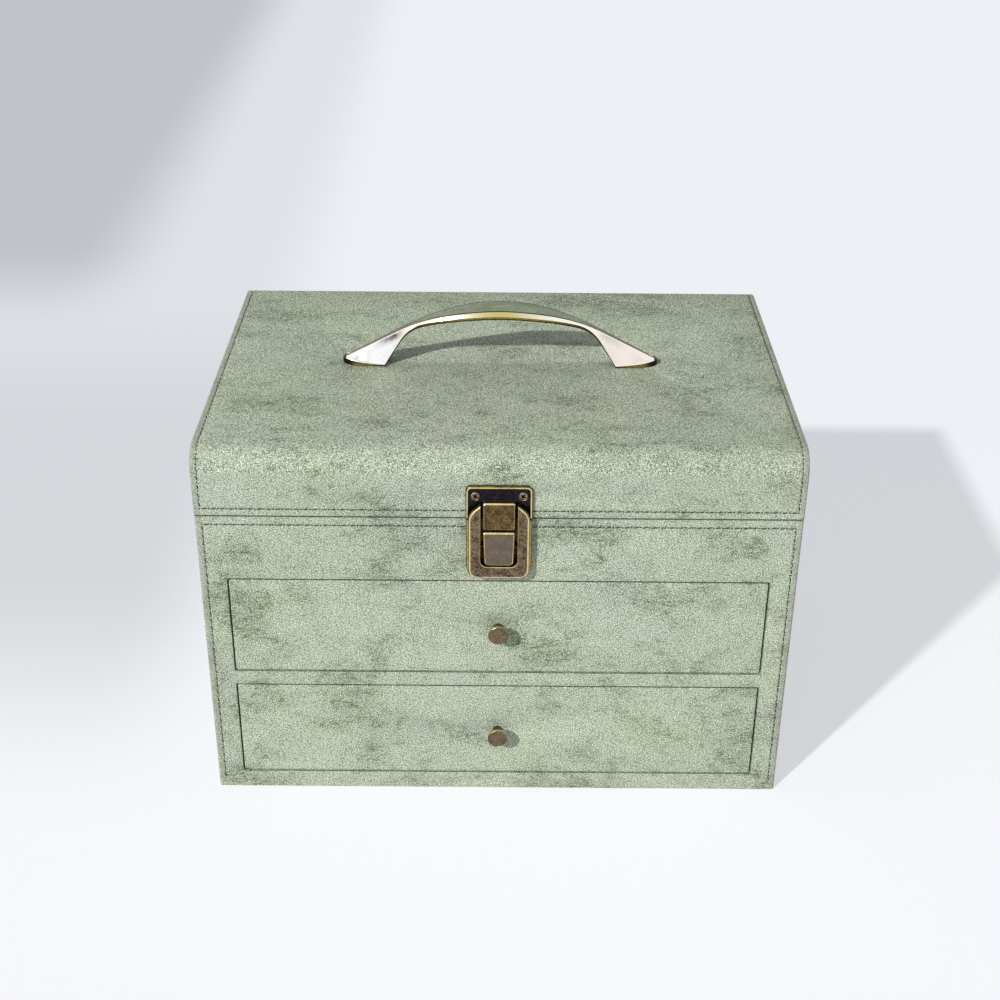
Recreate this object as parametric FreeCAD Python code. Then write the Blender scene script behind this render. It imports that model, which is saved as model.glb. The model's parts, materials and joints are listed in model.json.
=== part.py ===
import FreeCAD, Part
import math
import os

Vector = FreeCAD.Vector

# Jewelry box: a leatherette-covered board case with two drawers, a fitted top
# compartment and a hinged lid with a bow handle and a sprung front latch.
# Millimetres. +X to the right, +Y to the back, +Z up.
# The origin is the centre of the case's footprint, on the surface it stands on.

# Overall case and lid
box_width = 245.0
box_depth = 171.0
body_height = 137.4
lid_height = 28.9
seam_gap = 0.4
cover = 0.8
corner_radius = 1.2
lid_front_radius = 10.0
lid_back_radius = 2.5
lid_edge_softening = 0.5

# Boards
side_board = 10.0
front_board = 6.0
back_board = 6.0
lid_board = 5.6
base_panel_thickness = 2.4
bottom_board_thickness = 6.2
shelf_thickness = 4.0
compartment_board = 3.0
compartment_floor_rise = 1.0
stile_lap = 0.3

# Drawer openings in the front
lower_opening_height = 46.7
upper_opening_height = 46.0
rail_height = 6.7
opening_radius = 1.2

# Drawers
drawer_gap = 0.5
drawer_lift = 0.3
drawer_front_board = 7.0
drawer_edge_softening = 0.4
drawer_front_radius = 1.2
drawer_wall = 4.0
drawer_floor = 3.0
drawer_wall_drop = 8.0
drawer_back_space = 6.5
lining = 0.8
lining_drop = 0.8
drawer_side_clearance = 0.5
divider_thickness = 3.0
upper_divider_offset = 36.0
upper_divider_height = 27.0
lower_divider_place = -34.0
lower_divider_height = 27.0

# Knobs
knob_diameter = 8.5
knob_reach = 6.7
knob_head_length = 3.3
knob_neck_diameter = 4.2
knob_collar_diameter = 6.2
knob_collar_length = 0.9
knob_edge = 0.9
knob_neck_ease = 0.4
knob_screw_diameter = 3.0
knob_screw_bite = 4.5
knob_screw_head_diameter = 5.6
knob_screw_head_height = 1.8

# Top compartment
liner_card = 1.8
liner_rise = 5.0
liner_clearance = 0.4
ring_bay_width = 71.0
middle_bay_width = 72.0
tray_divider_height = 18.0
middle_cross_place = 14.0
right_cross_place = -10.0
roll_count = 7
roll_height = 15.0
roll_gap = 0.9
roll_end_gap = 0.5
roll_crown = 4.5
roll_draw_length = 7.0
roll_side_height = 7.5

# Lid inside
lining_panel = 1.6
mirror_width = 176.0
mirror_depth = 112.0
mirror_thickness = 2.2
mirror_frame_width = 7.0
mirror_frame_proud = 0.7
mirror_place = 1.5

# Hinges: outside butt hinges whose leaves carry stop heels
hinge_inset = 47.5
hinge_length = 30.0
hinge_leaf_height = 15.0
hinge_leaf_thickness = 1.0
knuckle_radius = 2.2
knuckle_length = 9.8
hinge_leaf_corner = 2.0
knuckle_gap = 0.25
hinge_pin_radius = 1.0
hinge_pin_head = 0.6
pin_running_clearance = 0.05
hinge_stand_off = 0.3
heel_reach = 2.4
lid_stop_angle = 97.0
hinge_screw_spacing = 18.0
hinge_screw_diameter = 2.0
hinge_screw_head_diameter = 3.8
hinge_screw_length = 7.0
hinge_screw_rise = 6.0

# Handle: a cast bow with a leaf-shaped grip, ridged flanks and spread feet
handle_height = 26.3
handle_tip_half = 69.0
handle_set_back = 1.5
arch_radius = 95.0
arch_half = 45.0
bar_thickness = 3.4
under_radius = 115.0
shoulder_start = 33.5
shoulder_radius = 18.0
foot_inner_angle = 56.0
grip_half_width = 6.3
grip_taper_start = 8.0
grip_taper_end = 50.0
grip_edge_bevel = 0.5
bar_edge_height = 2.4
ridge_half_width = 1.4
ridge_share = 0.6
foot_half_depth = 5.4
foot_rim_height = 1.8
foot_round_start = 59.0
foot_tip_blunt = 0.3
handle_sections = 27
foot_sections = 7
handle_screw_half_spacing = 58.5
handle_screw_diameter = 4.0
handle_screw_bite = 6.0
handle_screw_head_diameter = 7.4
handle_screw_head_height = 2.3

# Latch
latch_place = 0.0
latch_flange_half = 13.2
latch_flange_thickness = 1.2
latch_flange_height = 26.8
latch_flange_radius = 4.6
bezel_half = 12.35
bezel_height = 32.9
bezel_sill = 1.1
bezel_proud = 4.4
bezel_bevel = 0.6
bezel_foot_radius = 4.0
bezel_head_half = 7.9
bezel_head_drop = 3.8
recess_half = 7.5
recess_sill = 6.2
recess_radius = 2.8
arm_gap = 0.3
plate_half = 13.45
plate_height = 14.85
plate_thickness = 1.6
plate_radius = 2.4
plate_rim = 1.0
plate_dish = 0.4
plate_seam_gap = 0.25
tongue_half = 6.5
tongue_top_rise = 8.9
tongue_drop = 3.4
tongue_radius = 1.0
tile_bevel = 0.5
tile_recess = 0.3
tile_thickness = 1.4
lever_top_half = 6.55
lever_foot_half = 5.95
lever_tongue_gap = 1.1
lever_length = 15.5
lever_foot_radius = 2.0
lever_pin_drop = 6.4
lever_pin_depth = 1.1
lever_pin_radius = 0.75
lever_pin_half = 9.8
lever_ear_inner = 3.6
lever_ear_outer = 5.2
lever_ear_radius = 1.4
lip_half = 3.2
lip_height = 1.3
lip_drop = 1.7
lip_reach = 0.85
strike_half = 3.0
strike_thickness = 0.8
strike_stand_off = 0.4
hook_height = 0.8
hook_reach = 0.3
hook_lip_gap = 0.7
latch_pocket_depth = 3.5
latch_pocket_margin = 0.4
latch_screw_half_spacing = 9.6
latch_screw_drop = 4.6
latch_screw_diameter = 2.0
latch_screw_head_diameter = 3.9
latch_screw_length = 8.0
latch_stud_half_spacing = 10.0
latch_stud_low_rise = 5.5
latch_stud_high_rise = 21.0
latch_stud_diameter = 2.4
latch_stud_head_diameter = 4.6
latch_stud_head_height = 1.6
latch_stud_bite = 2.6
spring_width = 5.0
spring_thickness = 0.35
spring_bend_radius = 0.8
spring_start_drop = 1.6
spring_bend_rise = 1.8
spring_end_drop = 1.0
spring_end_gap = 0.6
screw_clearance = 0.05
screw_end_gap = 0.3
screw_head_sink = 0.2
fastener_sides = 12

# Places worked out from the sizes above
half_width = box_width / 2
hinge_spacing = box_width - 2 * hinge_inset
half_depth = box_depth / 2
board_half_width = half_width - cover
board_half_depth = half_depth - cover
inner_half = board_half_width - side_board
opening_half = inner_half - stile_lap
inner_front = -board_half_depth + front_board
inner_back = board_half_depth - back_board
front_face = -half_depth

lower_opening = base_panel_thickness + bottom_board_thickness
lower_opening_top = lower_opening + lower_opening_height
upper_opening = lower_opening_top + rail_height
upper_opening_top = upper_opening + upper_opening_height
board_top = body_height - cover
shelf_top = upper_opening
compartment_floor_bottom = upper_opening_top + compartment_floor_rise
compartment_floor_top = compartment_floor_bottom + compartment_board
tray_top = compartment_floor_top + lining
liner_top = body_height + liner_rise

lid_bottom = body_height + seam_gap
lid_top = lid_bottom + lid_height
lid_board_bottom = lid_bottom + cover
lid_board_top = lid_top - cover
lid_ceiling = lid_board_top - lid_board
lid_inner_half = inner_half + liner_clearance
lid_inner_front = -board_half_depth + lid_board
lid_inner_back = board_half_depth - lid_board
seam_middle = body_height + seam_gap / 2

tray_half = inner_half - liner_card
tray_front = inner_front + liner_card
tray_back = inner_back - liner_card
ring_bay_end = -tray_half + ring_bay_width
middle_bay_start = ring_bay_end + divider_thickness
middle_bay_end = middle_bay_start + middle_bay_width
right_bay_start = middle_bay_end + divider_thickness

hinge_axis_y = half_depth + knuckle_radius + hinge_stand_off
hinge_axis_z = seam_middle
heel_inner = knuckle_radius + knuckle_gap
heel_outer = knuckle_radius + heel_reach

plate_bottom = lid_bottom + plate_seam_gap - seam_gap / 2
plate_top = plate_bottom + plate_height
plate_front = front_face - plate_thickness
flange_top = body_height - plate_seam_gap / 2
flange_bottom = flange_top - latch_flange_height
flange_front = front_face - latch_flange_thickness
bezel_bottom = flange_bottom + bezel_sill
bezel_top = bezel_bottom + bezel_height
bezel_front = front_face - bezel_proud
recess_bottom = flange_bottom + recess_sill
tile_front = bezel_front + tile_recess
tile_back = tile_front + tile_thickness
tongue_bottom = body_height - tongue_drop
tongue_top = body_height + tongue_top_rise
lever_top = tongue_bottom - lever_tongue_gap
lever_bottom = lever_top - lever_length
lever_pin_z = lever_top - lever_pin_drop
lever_pin_y = front_face - lever_pin_depth
lip_top = lever_top - lip_drop
lip_bottom = lip_top - lip_height
lip_back = tile_back + lip_reach
strike_back = front_face - strike_stand_off
strike_front = strike_back - strike_thickness
hook_top = lip_bottom - hook_lip_gap
hook_bottom = hook_top - hook_height
pocket_floor = -board_half_depth + latch_pocket_depth

ACROSS = Vector(1, 0, 0)
BACKWARD = Vector(0, 1, 0)
UPWARD = Vector(0, 0, 1)


def slab(x0, x1, y0, y1, z0, z1):
    """A board between two corners."""
    return Part.makeBox(x1 - x0, y1 - y0, z1 - z0, Vector(x0, y0, z0))


def rounded_face(corners, place):
    """A flat face whose corners (u, v, radius) are rounded; place turns (u, v) into a point."""
    edges = []
    stops = []
    count = len(corners)
    for index in range(count):
        u, v, radius = corners[index]
        here = Vector(u, v, 0)
        before = Vector(*corners[index - 1][:2], 0) - here
        after = Vector(*corners[(index + 1) % count][:2], 0) - here
        before.normalize()
        after.normalize()
        if radius <= 0:
            stops.append((here, here, None))
            continue
        half_angle = before.getAngle(after) / 2
        reach = radius / math.tan(half_angle)
        middle_way = before + after
        middle_way.normalize()
        middle = here + middle_way * (radius / math.sin(half_angle) - radius)
        stops.append((here + before * reach, here + after * reach, middle))
    for index in range(count):
        start, end, middle = stops[index]
        if middle is not None:
            arc = Part.Arc(place(start), place(middle), place(end))
            edges.append(arc.toShape())
        following = stops[(index + 1) % count][0]
        if end.distanceToPoint(following) > 1e-6:
            edges.append(Part.makeLine(place(end), place(following)))
    return Part.Face(Part.Wire(edges))


def prism_x(corners, x0, x1):
    """Corners (y, z, radius) pushed along X."""
    face = rounded_face(corners, lambda p: Vector(x0, p.x, p.y))
    return face.extrude(Vector(x1 - x0, 0, 0))


def prism_y(corners, y0, y1):
    """Corners (x, z, radius) pushed along Y."""
    face = rounded_face(corners, lambda p: Vector(p.x, y0, p.y))
    return face.extrude(Vector(0, y1 - y0, 0))


def prism_z(corners, z0, z1):
    """Corners (x, y, radius) pushed along Z."""
    face = rounded_face(corners, lambda p: Vector(p.x, p.y, z0))
    return face.extrude(Vector(0, 0, z1 - z0))


def rectangle(u0, u1, v0, v1, radius=0.0):
    return [(u0, v0, radius), (u1, v0, radius), (u1, v1, radius), (u0, v1, radius)]


def rod(start, direction, radius, length):
    return Part.makeCylinder(radius, length, start, direction)


def turned(profile, start, direction):
    """A turned piece: profile points (distance along the axis, radius) spun about the axis."""
    points = [Vector(radius, 0, along) for along, radius in profile]
    points.append(points[0])
    spun = Part.Face(Part.makePolygon(points)).revolve(Vector(0, 0, 0), UPWARD, 360)
    spun.rotate(Vector(0, 0, 0), *turn_from_up(direction))
    spun.translate(start)
    return spun


def turn_from_up(direction):
    """The axis and angle that turn +Z into the direction given."""
    turn = FreeCAD.Rotation(UPWARD, direction)
    return turn.Axis, math.degrees(turn.Angle)


def small_fastener(profile, start, direction):
    """A hidden screw, or the hole for one, many-sided in place of round."""
    rings = []
    for along, radius in profile:
        points = []
        for index in range(fastener_sides + 1):
            angle = 2 * math.pi * index / fastener_sides
            points.append(Vector(radius * math.cos(angle), radius * math.sin(angle), along))
        rings.append(Part.makePolygon(points))
    piece = Part.makeLoft(rings, True, True)
    piece.rotate(Vector(0, 0, 0), *turn_from_up(direction))
    piece.translate(start)
    return piece


def flat_head_stations(head_diameter, diameter, length):
    """A countersunk head flush with the start, a shank and a blunt point."""
    return [
        (0, head_diameter / 2),
        ((head_diameter - diameter) / 2, diameter / 2),
        (length - diameter / 2, diameter / 2),
        (length, diameter / 8),
    ]


def flat_head_screw(start, direction, head_diameter, diameter, length):
    return small_fastener(flat_head_stations(head_diameter, diameter, length), start, direction)


def flat_head_hole(start, direction, head_diameter, diameter, length):
    grow = 2 * screw_clearance
    stations = flat_head_stations(head_diameter + grow, diameter + grow, length + grow)
    return small_fastener(stations, start, direction)


def pan_head_screw(start, direction, head_diameter, head_height, diameter, length):
    """A machine screw: the head lies behind start and the shank runs length in front of it."""
    crown = (head_diameter + diameter) / 4
    head = [(-head_height, crown), (-head_height / 2, head_diameter / 2), (0, head_diameter / 2)]
    shank = [(-head_height / 2, diameter / 2), (length, diameter / 2)]
    return small_fastener(head, start, direction).fuse(small_fastener(shank, start, direction))


def straight_hole(start, direction, diameter, length):
    radius = diameter / 2 + screw_clearance
    return small_fastener([(0, radius), (length, radius)], start, direction)


def grouped(solids):
    return Part.makeCompound(solids)


def front_edges(shape, y):
    """The edges that lie in the plane at y."""
    found = []
    for edge in shape.Edges:
        box = edge.BoundBox
        if abs(box.YMin - y) < 1e-4 and abs(box.YMax - y) < 1e-4:
            found.append(edge)
    return found


# Case

def footprint(half_x, half_y, radius):
    return rectangle(-half_x, half_x, -half_y, half_y, radius)


def make_base_panel():
    return prism_z(footprint(half_width, half_depth, corner_radius), 0, base_panel_thickness)


def make_bottom_board():
    return slab(-inner_half, inner_half, inner_front, inner_back, base_panel_thickness, lower_opening)


def make_side_board(side):
    near = side * inner_half
    far = side * board_half_width
    return slab(min(near, far), max(near, far), inner_front, inner_back, base_panel_thickness, board_top)


def make_back_board():
    board = slab(
        -board_half_width, board_half_width, inner_back, board_half_depth, base_panel_thickness, board_top
    )
    return board.cut(grouped(hinge_screw_holes(-1)))


def drawer_window(bottom, top, margin, y0, y1):
    corners = rectangle(
        -opening_half - margin,
        opening_half + margin,
        bottom - margin,
        top + margin,
        opening_radius + margin,
    )
    return prism_y(corners, y0, y1)


def drawer_windows(margin, y0, y1):
    return [
        drawer_window(lower_opening, lower_opening_top, margin, y0, y1),
        drawer_window(upper_opening, upper_opening_top, margin, y0, y1),
    ]


def latch_pocket(y0, y1):
    """The pocket cut in the front behind the latch's recess."""
    half = recess_half + latch_pocket_margin
    bottom = recess_bottom - latch_pocket_margin
    return slab(latch_place - half, latch_place + half, y0, y1, bottom, body_height + 1)


def make_front_frame():
    frame = slab(
        -board_half_width, board_half_width, -board_half_depth, inner_front, base_panel_thickness, board_top
    )
    for window in drawer_windows(cover, -half_depth, 0):
        frame = frame.cut(window)
    frame = frame.cut(latch_pocket(-board_half_depth - 1, pocket_floor))
    return frame.cut(grouped(latch_stud_holes()))


def cover_tube(bottom, top):
    """The leatherette all round the boards, with softly rounded corners."""
    outside = prism_z(footprint(half_width, half_depth, corner_radius), bottom, top)
    inside = slab(
        -board_half_width, board_half_width, -board_half_depth, board_half_depth, bottom - 1, top + 1
    )
    return outside.cut(inside)


def in_front_of_boards():
    return slab(-box_width, box_width, -box_depth, -board_half_depth, 0, lid_top)


def make_case_wrap():
    """The cover on the sides and back, turned in over the top edges of the boards."""
    tube = cover_tube(base_panel_thickness, board_top).cut(in_front_of_boards())
    wrap = tube.fuse(make_rim_fold()).removeSplitter()
    return wrap.cut(grouped(hinge_screw_holes(-1)))


def make_front_wrap():
    """The cover on the front, turned in round both drawer openings."""
    sheet = cover_tube(base_panel_thickness, board_top).common(in_front_of_boards())
    sheet = sheet.fuse(drawer_windows(cover, -board_half_depth, inner_front))
    for window in drawer_windows(0, -box_depth, 0):
        sheet = sheet.cut(window)
    sheet = sheet.cut(latch_pocket(-box_depth, 0))
    return sheet.cut(grouped(latch_stud_holes())).removeSplitter()


def make_rim_fold():
    ring = prism_z(footprint(half_width, half_depth, corner_radius), board_top, body_height)
    inside = slab(-inner_half, inner_half, inner_front, inner_back, 0, lid_top)
    return ring.cut(inside).cut(latch_pocket(-box_depth, pocket_floor))


def make_drawer_shelf():
    return slab(-inner_half, inner_half, inner_front, inner_back, shelf_top - shelf_thickness, shelf_top)


def make_compartment_floor():
    return slab(
        -inner_half, inner_half, inner_front, inner_back, compartment_floor_bottom, compartment_floor_top
    )


def make_rim_liner():
    """Four velvet-covered cards that line the top compartment and stand up into the lid."""
    low = compartment_floor_top
    cards = [
        slab(-inner_half, inner_half, inner_front, tray_front, low, liner_top),
        slab(-inner_half, inner_half, tray_back, inner_back, low, liner_top),
        slab(-inner_half, -tray_half, tray_front, tray_back, low, liner_top),
        slab(tray_half, inner_half, tray_front, tray_back, low, liner_top),
    ]
    return grouped(cards)


def make_compartment_lining():
    return slab(-tray_half, tray_half, tray_front, tray_back, compartment_floor_top, tray_top)


def make_tray_dividers():
    top = tray_top + tray_divider_height
    half = divider_thickness / 2
    dividers = [
        slab(ring_bay_end, middle_bay_start, tray_front, tray_back, tray_top, top),
        slab(middle_bay_end, right_bay_start, tray_front, tray_back, tray_top, top),
    ]
    crossings = [
        (middle_bay_start, middle_bay_end, middle_cross_place),
        (right_bay_start, tray_half, right_cross_place),
    ]
    for x0, x1, y in crossings:
        dividers.append(slab(x0, x1, y - half, y + half, tray_top, top))
    return grouped(dividers)


def crowned_bar(x0, x1, middle, half, foot, shoulder, top):
    """A bar along X with upright sides and a crown that is one arc from side to side."""
    corners = [
        Vector(x0, middle - half, foot),
        Vector(x0, middle + half, foot),
        Vector(x0, middle + half, shoulder),
        Vector(x0, middle - half, shoulder),
    ]
    edges = [
        Part.makeLine(corners[0], corners[1]),
        Part.makeLine(corners[1], corners[2]),
        Part.Arc(corners[2], Vector(x0, middle, top), corners[3]).toShape(),
        Part.makeLine(corners[3], corners[0]),
    ]
    return Part.Face(Part.Wire(edges)).extrude(Vector(x1 - x0, 0, 0))


def make_ring_rolls():
    """A row of crowned velvet rolls whose tops draw down towards both ends."""
    pitch = (tray_back - tray_front) / roll_count
    half = (pitch - roll_gap) / 2
    start = -tray_half + roll_end_gap
    end = ring_bay_end - roll_end_gap
    foot = tray_top + roll_end_gap
    shoulder = foot + roll_side_height
    top = tray_top + roll_height
    drawn_down = [
        (start, foot, 0),
        (end, foot, 0),
        (end, top - roll_crown, 0),
        (end - roll_draw_length, top, 0),
        (start + roll_draw_length, top, 0),
        (start, top - roll_crown, 0),
    ]
    rolls = []
    for index in range(roll_count):
        middle = tray_front + (index + 0.5) * pitch
        bar = crowned_bar(start, end, middle, half, foot, shoulder, top)
        rolls.append(bar.common(prism_y(drawn_down, middle - pitch, middle + pitch)))
    return grouped(rolls)


# Lid

def lid_profile(inset, bottom):
    """The lid's side outline, drawn in by inset, down to the level given."""
    front = -half_depth + inset
    back = half_depth - inset
    top = lid_top - inset
    return [
        (front, bottom, 0),
        (back, bottom, 0),
        (back, top, max(lid_back_radius - inset, 0)),
        (front, top, max(lid_front_radius - inset, 0)),
    ]


def make_lid_top_board():
    """The bent front and top in one board, between the cheeks."""
    outer = prism_x(lid_profile(cover, lid_board_bottom), -lid_inner_half, lid_inner_half)
    inner = prism_x(lid_profile(cover + lid_board, lid_bottom - 5), -box_width, box_width)
    behind = slab(-box_width, box_width, lid_inner_back, half_depth, 0, lid_ceiling)
    board = outer.cut(inner).cut(behind)
    board = board.cut(grouped(handle_screw_holes()))
    return board.cut(grouped(latch_screw_holes()))


def make_lid_cheek(side):
    near = side * lid_inner_half
    far = side * board_half_width
    return prism_x(lid_profile(cover, lid_board_bottom), min(near, far), max(near, far))


def make_lid_back_rail():
    rail = slab(
        -lid_inner_half, lid_inner_half, lid_inner_back, board_half_depth, lid_board_bottom, lid_ceiling
    )
    return rail.cut(grouped(hinge_screw_holes(1)))


def make_lid_wrap():
    """One strip over the lid's front, top and back, turned in round its lower edge."""
    outer = prism_x(lid_profile(0, lid_board_bottom), -half_width, half_width)
    long_edges = []
    for edge in outer.Edges:
        box = edge.BoundBox
        at_side = abs(abs(box.XMin) - half_width) < 1e-4 and abs(box.XMax - box.XMin) < 1e-4
        at_bottom = box.ZMax < lid_board_bottom + 1e-4
        if at_side and not at_bottom:
            long_edges.append(edge)
    outer = outer.makeChamfer(lid_edge_softening, long_edges)
    inner = prism_x(lid_profile(cover, lid_bottom - 5), -box_width, box_width)
    wrap = outer.cut(inner).fuse(make_lid_rim_fold()).removeSplitter()
    wrap = wrap.cut(grouped(handle_screw_holes()))
    wrap = wrap.cut(grouped(latch_screw_holes()))
    return wrap.cut(grouped(hinge_screw_holes(1)))


def make_lid_side_covers():
    covers = []
    for side in (-1, 1):
        near = side * board_half_width
        far = side * half_width
        covers.append(prism_x(lid_profile(cover, lid_board_bottom), min(near, far), max(near, far)))
    return grouped(covers)


def make_lid_rim_fold():
    ring = prism_z(footprint(half_width, half_depth, corner_radius), lid_bottom, lid_board_bottom)
    inside = slab(
        -lid_inner_half, lid_inner_half, lid_inner_front, lid_inner_back, lid_bottom - 1, lid_top
    )
    return ring.cut(inside)


def make_lid_lining():
    """The padded velvet panel under the lid's top."""
    front = lid_inner_front + max(lid_front_radius - cover - lid_board, 0)
    return slab(
        -lid_inner_half, lid_inner_half, front, lid_inner_back, lid_ceiling - lining_panel, lid_ceiling
    )


def mirror_outline(margin, radius):
    half_x = mirror_width / 2 + margin
    half_y = mirror_depth / 2 + margin
    return rectangle(-half_x, half_x, mirror_place - half_y, mirror_place + half_y, radius)


def make_lid_mirror():
    back = lid_ceiling - lining_panel
    return prism_z(mirror_outline(0, 0.5), back - mirror_thickness, back)


def make_mirror_frame():
    back = lid_ceiling - lining_panel
    low = back - mirror_thickness - mirror_frame_proud
    frame = prism_z(mirror_outline(mirror_frame_width, mirror_frame_width), low, back)
    seat = prism_z(mirror_outline(0, 0.5), back - mirror_thickness, back + 1)
    sight = prism_z(mirror_outline(-mirror_frame_proud, 1.0), low - 1, back + 1)
    return frame.cut(seat).cut(sight)


# Handle

def arch_drop(x, radius):
    return radius - math.sqrt(radius * radius - x * x)


def handle_top(x):
    """Height of the bow's top line over the lid at a distance x from its middle."""
    if x <= arch_half:
        return handle_height - arch_drop(x, arch_radius)
    slope = arch_half / math.sqrt(arch_radius ** 2 - arch_half ** 2)
    return handle_height - arch_drop(arch_half, arch_radius) - slope * (x - arch_half)


def shoulder_end():
    """Where the tight shoulder under the bow runs into the straight inner side of the foot."""
    start_angle = math.asin(shoulder_start / under_radius)
    end_angle = math.radians(foot_inner_angle)
    along = shoulder_radius * (math.sin(end_angle) - math.sin(start_angle))
    down = shoulder_radius * (math.cos(start_angle) - math.cos(end_angle))
    height = handle_height - bar_thickness - arch_drop(shoulder_start, under_radius) - down
    return shoulder_start + along, height


def foot_start():
    x, height = shoulder_end()
    return x + height / math.tan(math.radians(foot_inner_angle))


def handle_under(x):
    """Height of the bow's lower line over the lid, from the middle out to the foot."""
    if x <= shoulder_start:
        return handle_height - bar_thickness - arch_drop(x, under_radius)
    end_x, end_height = shoulder_end()
    if x >= end_x:
        return max(end_height - (x - end_x) * math.tan(math.radians(foot_inner_angle)), 0.0)
    start_angle = math.asin(shoulder_start / under_radius)
    angle = math.asin(math.sin(start_angle) + (x - shoulder_start) / shoulder_radius)
    start_height = handle_height - bar_thickness - arch_drop(shoulder_start, under_radius)
    return start_height - shoulder_radius * (math.cos(start_angle) - math.cos(angle))


def blend(low, high, share):
    share = min(max(share, 0.0), 1.0)
    return low + (high - low) * share * share * (3 - 2 * share)


def handle_ridge_half(x):
    """Half width of the handle's upper edge: a broad grip that narrows to a ridge on each foot."""
    share = (x - grip_taper_start) / (grip_taper_end - grip_taper_start)
    return blend(grip_half_width, ridge_half_width, share)


def handle_edge_half(x):
    """Half width of the handle's lower edge, which spreads out again towards the foot."""
    if x > foot_round_start:
        share = (x - foot_round_start) / (handle_tip_half - foot_round_start)
        return foot_half_depth * math.sqrt(max(1 - share * share, 0.0))
    spread = (x - shoulder_start) / (foot_start() - shoulder_start)
    flare = foot_half_depth - handle_ridge_half(x)
    return handle_ridge_half(x) + blend(grip_edge_bevel, flare, spread)


def handle_section(x, low, rim):
    """Six-sided section at x: flat foot, upright edge up to rim, flanks up to the ridge."""
    reach = abs(x)
    edge = handle_edge_half(reach)
    ridge = handle_ridge_half(reach)
    if reach > foot_round_start:
        ridge = min(ridge, edge * ridge_share)
    high = handle_top(reach)
    corners = [
        (-edge, low),
        (edge, low),
        (edge, rim),
        (ridge, high),
        (-ridge, high),
        (-edge, rim),
    ]
    points = [Vector(x, handle_set_back + v, lid_top + w) for v, w in corners]
    points.append(points[0])
    return Part.makePolygon(points)


def make_bow():
    """The bow between the two feet."""
    end = foot_start()
    sections = []
    for index in range(handle_sections):
        x = -end + 2 * end * index / (handle_sections - 1)
        low = handle_under(abs(x))
        spread = (abs(x) - shoulder_start) / (end - shoulder_start)
        rim = low + blend(bar_edge_height, foot_rim_height, spread)
        sections.append(handle_section(x, low, rim))
    return Part.makeLoft(sections, True, True)


def make_foot(side):
    """One foot, from its inner edge to its rounded tip."""
    start = foot_start()
    reach = handle_tip_half - foot_tip_blunt - start
    sections = []
    for index in range(foot_sections):
        share = math.sin(math.pi / 2 * index / (foot_sections - 1))
        x = start + reach * share
        rim = min(foot_rim_height, handle_top(x) * 0.7)
        sections.append(handle_section(side * x, 0.0, rim))
    return Part.makeLoft(sections, True, True)


def handle_screw_places():
    places = []
    for side in (-1, 1):
        places.append(Vector(side * handle_screw_half_spacing, handle_set_back, 0))
    return places


def handle_screw_holes():
    """Clearance holes and counterbores for the handle's screws, through the lid's top."""
    holes = []
    for place in handle_screw_places():
        low = Vector(place.x, place.y, lid_ceiling - 1)
        depth = lid_top + handle_screw_bite - low.z
        holes.append(straight_hole(low, UPWARD, handle_screw_diameter, depth))
        holes.append(straight_hole(low, UPWARD, handle_screw_head_diameter, handle_screw_head_height + 1))
    return holes


def make_handle():
    handle = make_bow().fuse([make_foot(-1), make_foot(1)]).removeSplitter()
    return handle.cut(grouped(handle_screw_holes()))


def make_handle_screws():
    screws = []
    seat = lid_ceiling + handle_screw_head_height
    length = lid_top + handle_screw_bite - seat - screw_end_gap
    for place in handle_screw_places():
        start = Vector(place.x, place.y, seat)
        screws.append(
            pan_head_screw(
                start,
                UPWARD,
                handle_screw_head_diameter,
                handle_screw_head_height,
                handle_screw_diameter,
                length,
            )
        )
    return grouped(screws)


# Hinges

def sector(inner, outer, from_angle, to_angle, x0, x1):
    """A ring segment about the hinge axis; angles run from +Y towards +Z."""
    def at(radius, degrees):
        angle = math.radians(degrees)
        y = hinge_axis_y + radius * math.cos(angle)
        z = hinge_axis_z + radius * math.sin(angle)
        return Vector(x0, y, z)

    middle = (from_angle + to_angle) / 2
    edges = [
        Part.Arc(at(outer, from_angle), at(outer, middle), at(outer, to_angle)).toShape(),
        Part.makeLine(at(outer, to_angle), at(inner, to_angle)),
        Part.Arc(at(inner, to_angle), at(inner, middle), at(inner, from_angle)).toShape(),
        Part.makeLine(at(inner, from_angle), at(outer, from_angle)),
    ]
    face = Part.Face(Part.Wire(edges))
    return face.extrude(Vector(x1 - x0, 0, 0))


def hinge_screw_places(leaf):
    """Screw places on the leaves above (leaf 1) or below (leaf -1) the seam."""
    places = []
    for side in (-1, 1):
        middle = side * hinge_spacing / 2
        for step in (-1, 1):
            x = middle + step * hinge_screw_spacing / 2
            z = hinge_axis_z + leaf * (heel_outer + hinge_screw_rise)
            places.append(Vector(x, half_depth + hinge_leaf_thickness, z))
    return places


def hinge_screw_holes(leaf):
    holes = []
    for place in hinge_screw_places(leaf):
        holes.append(
            flat_head_hole(
                place, -BACKWARD, hinge_screw_head_diameter, hinge_screw_diameter, hinge_screw_length
            )
        )
    return holes


def make_hinge_screws(leaf):
    screws = []
    for place in hinge_screw_places(leaf):
        screws.append(
            flat_head_screw(
                place, -BACKWARD, hinge_screw_head_diameter, hinge_screw_diameter, hinge_screw_length
            )
        )
    return grouped(screws)


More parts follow.
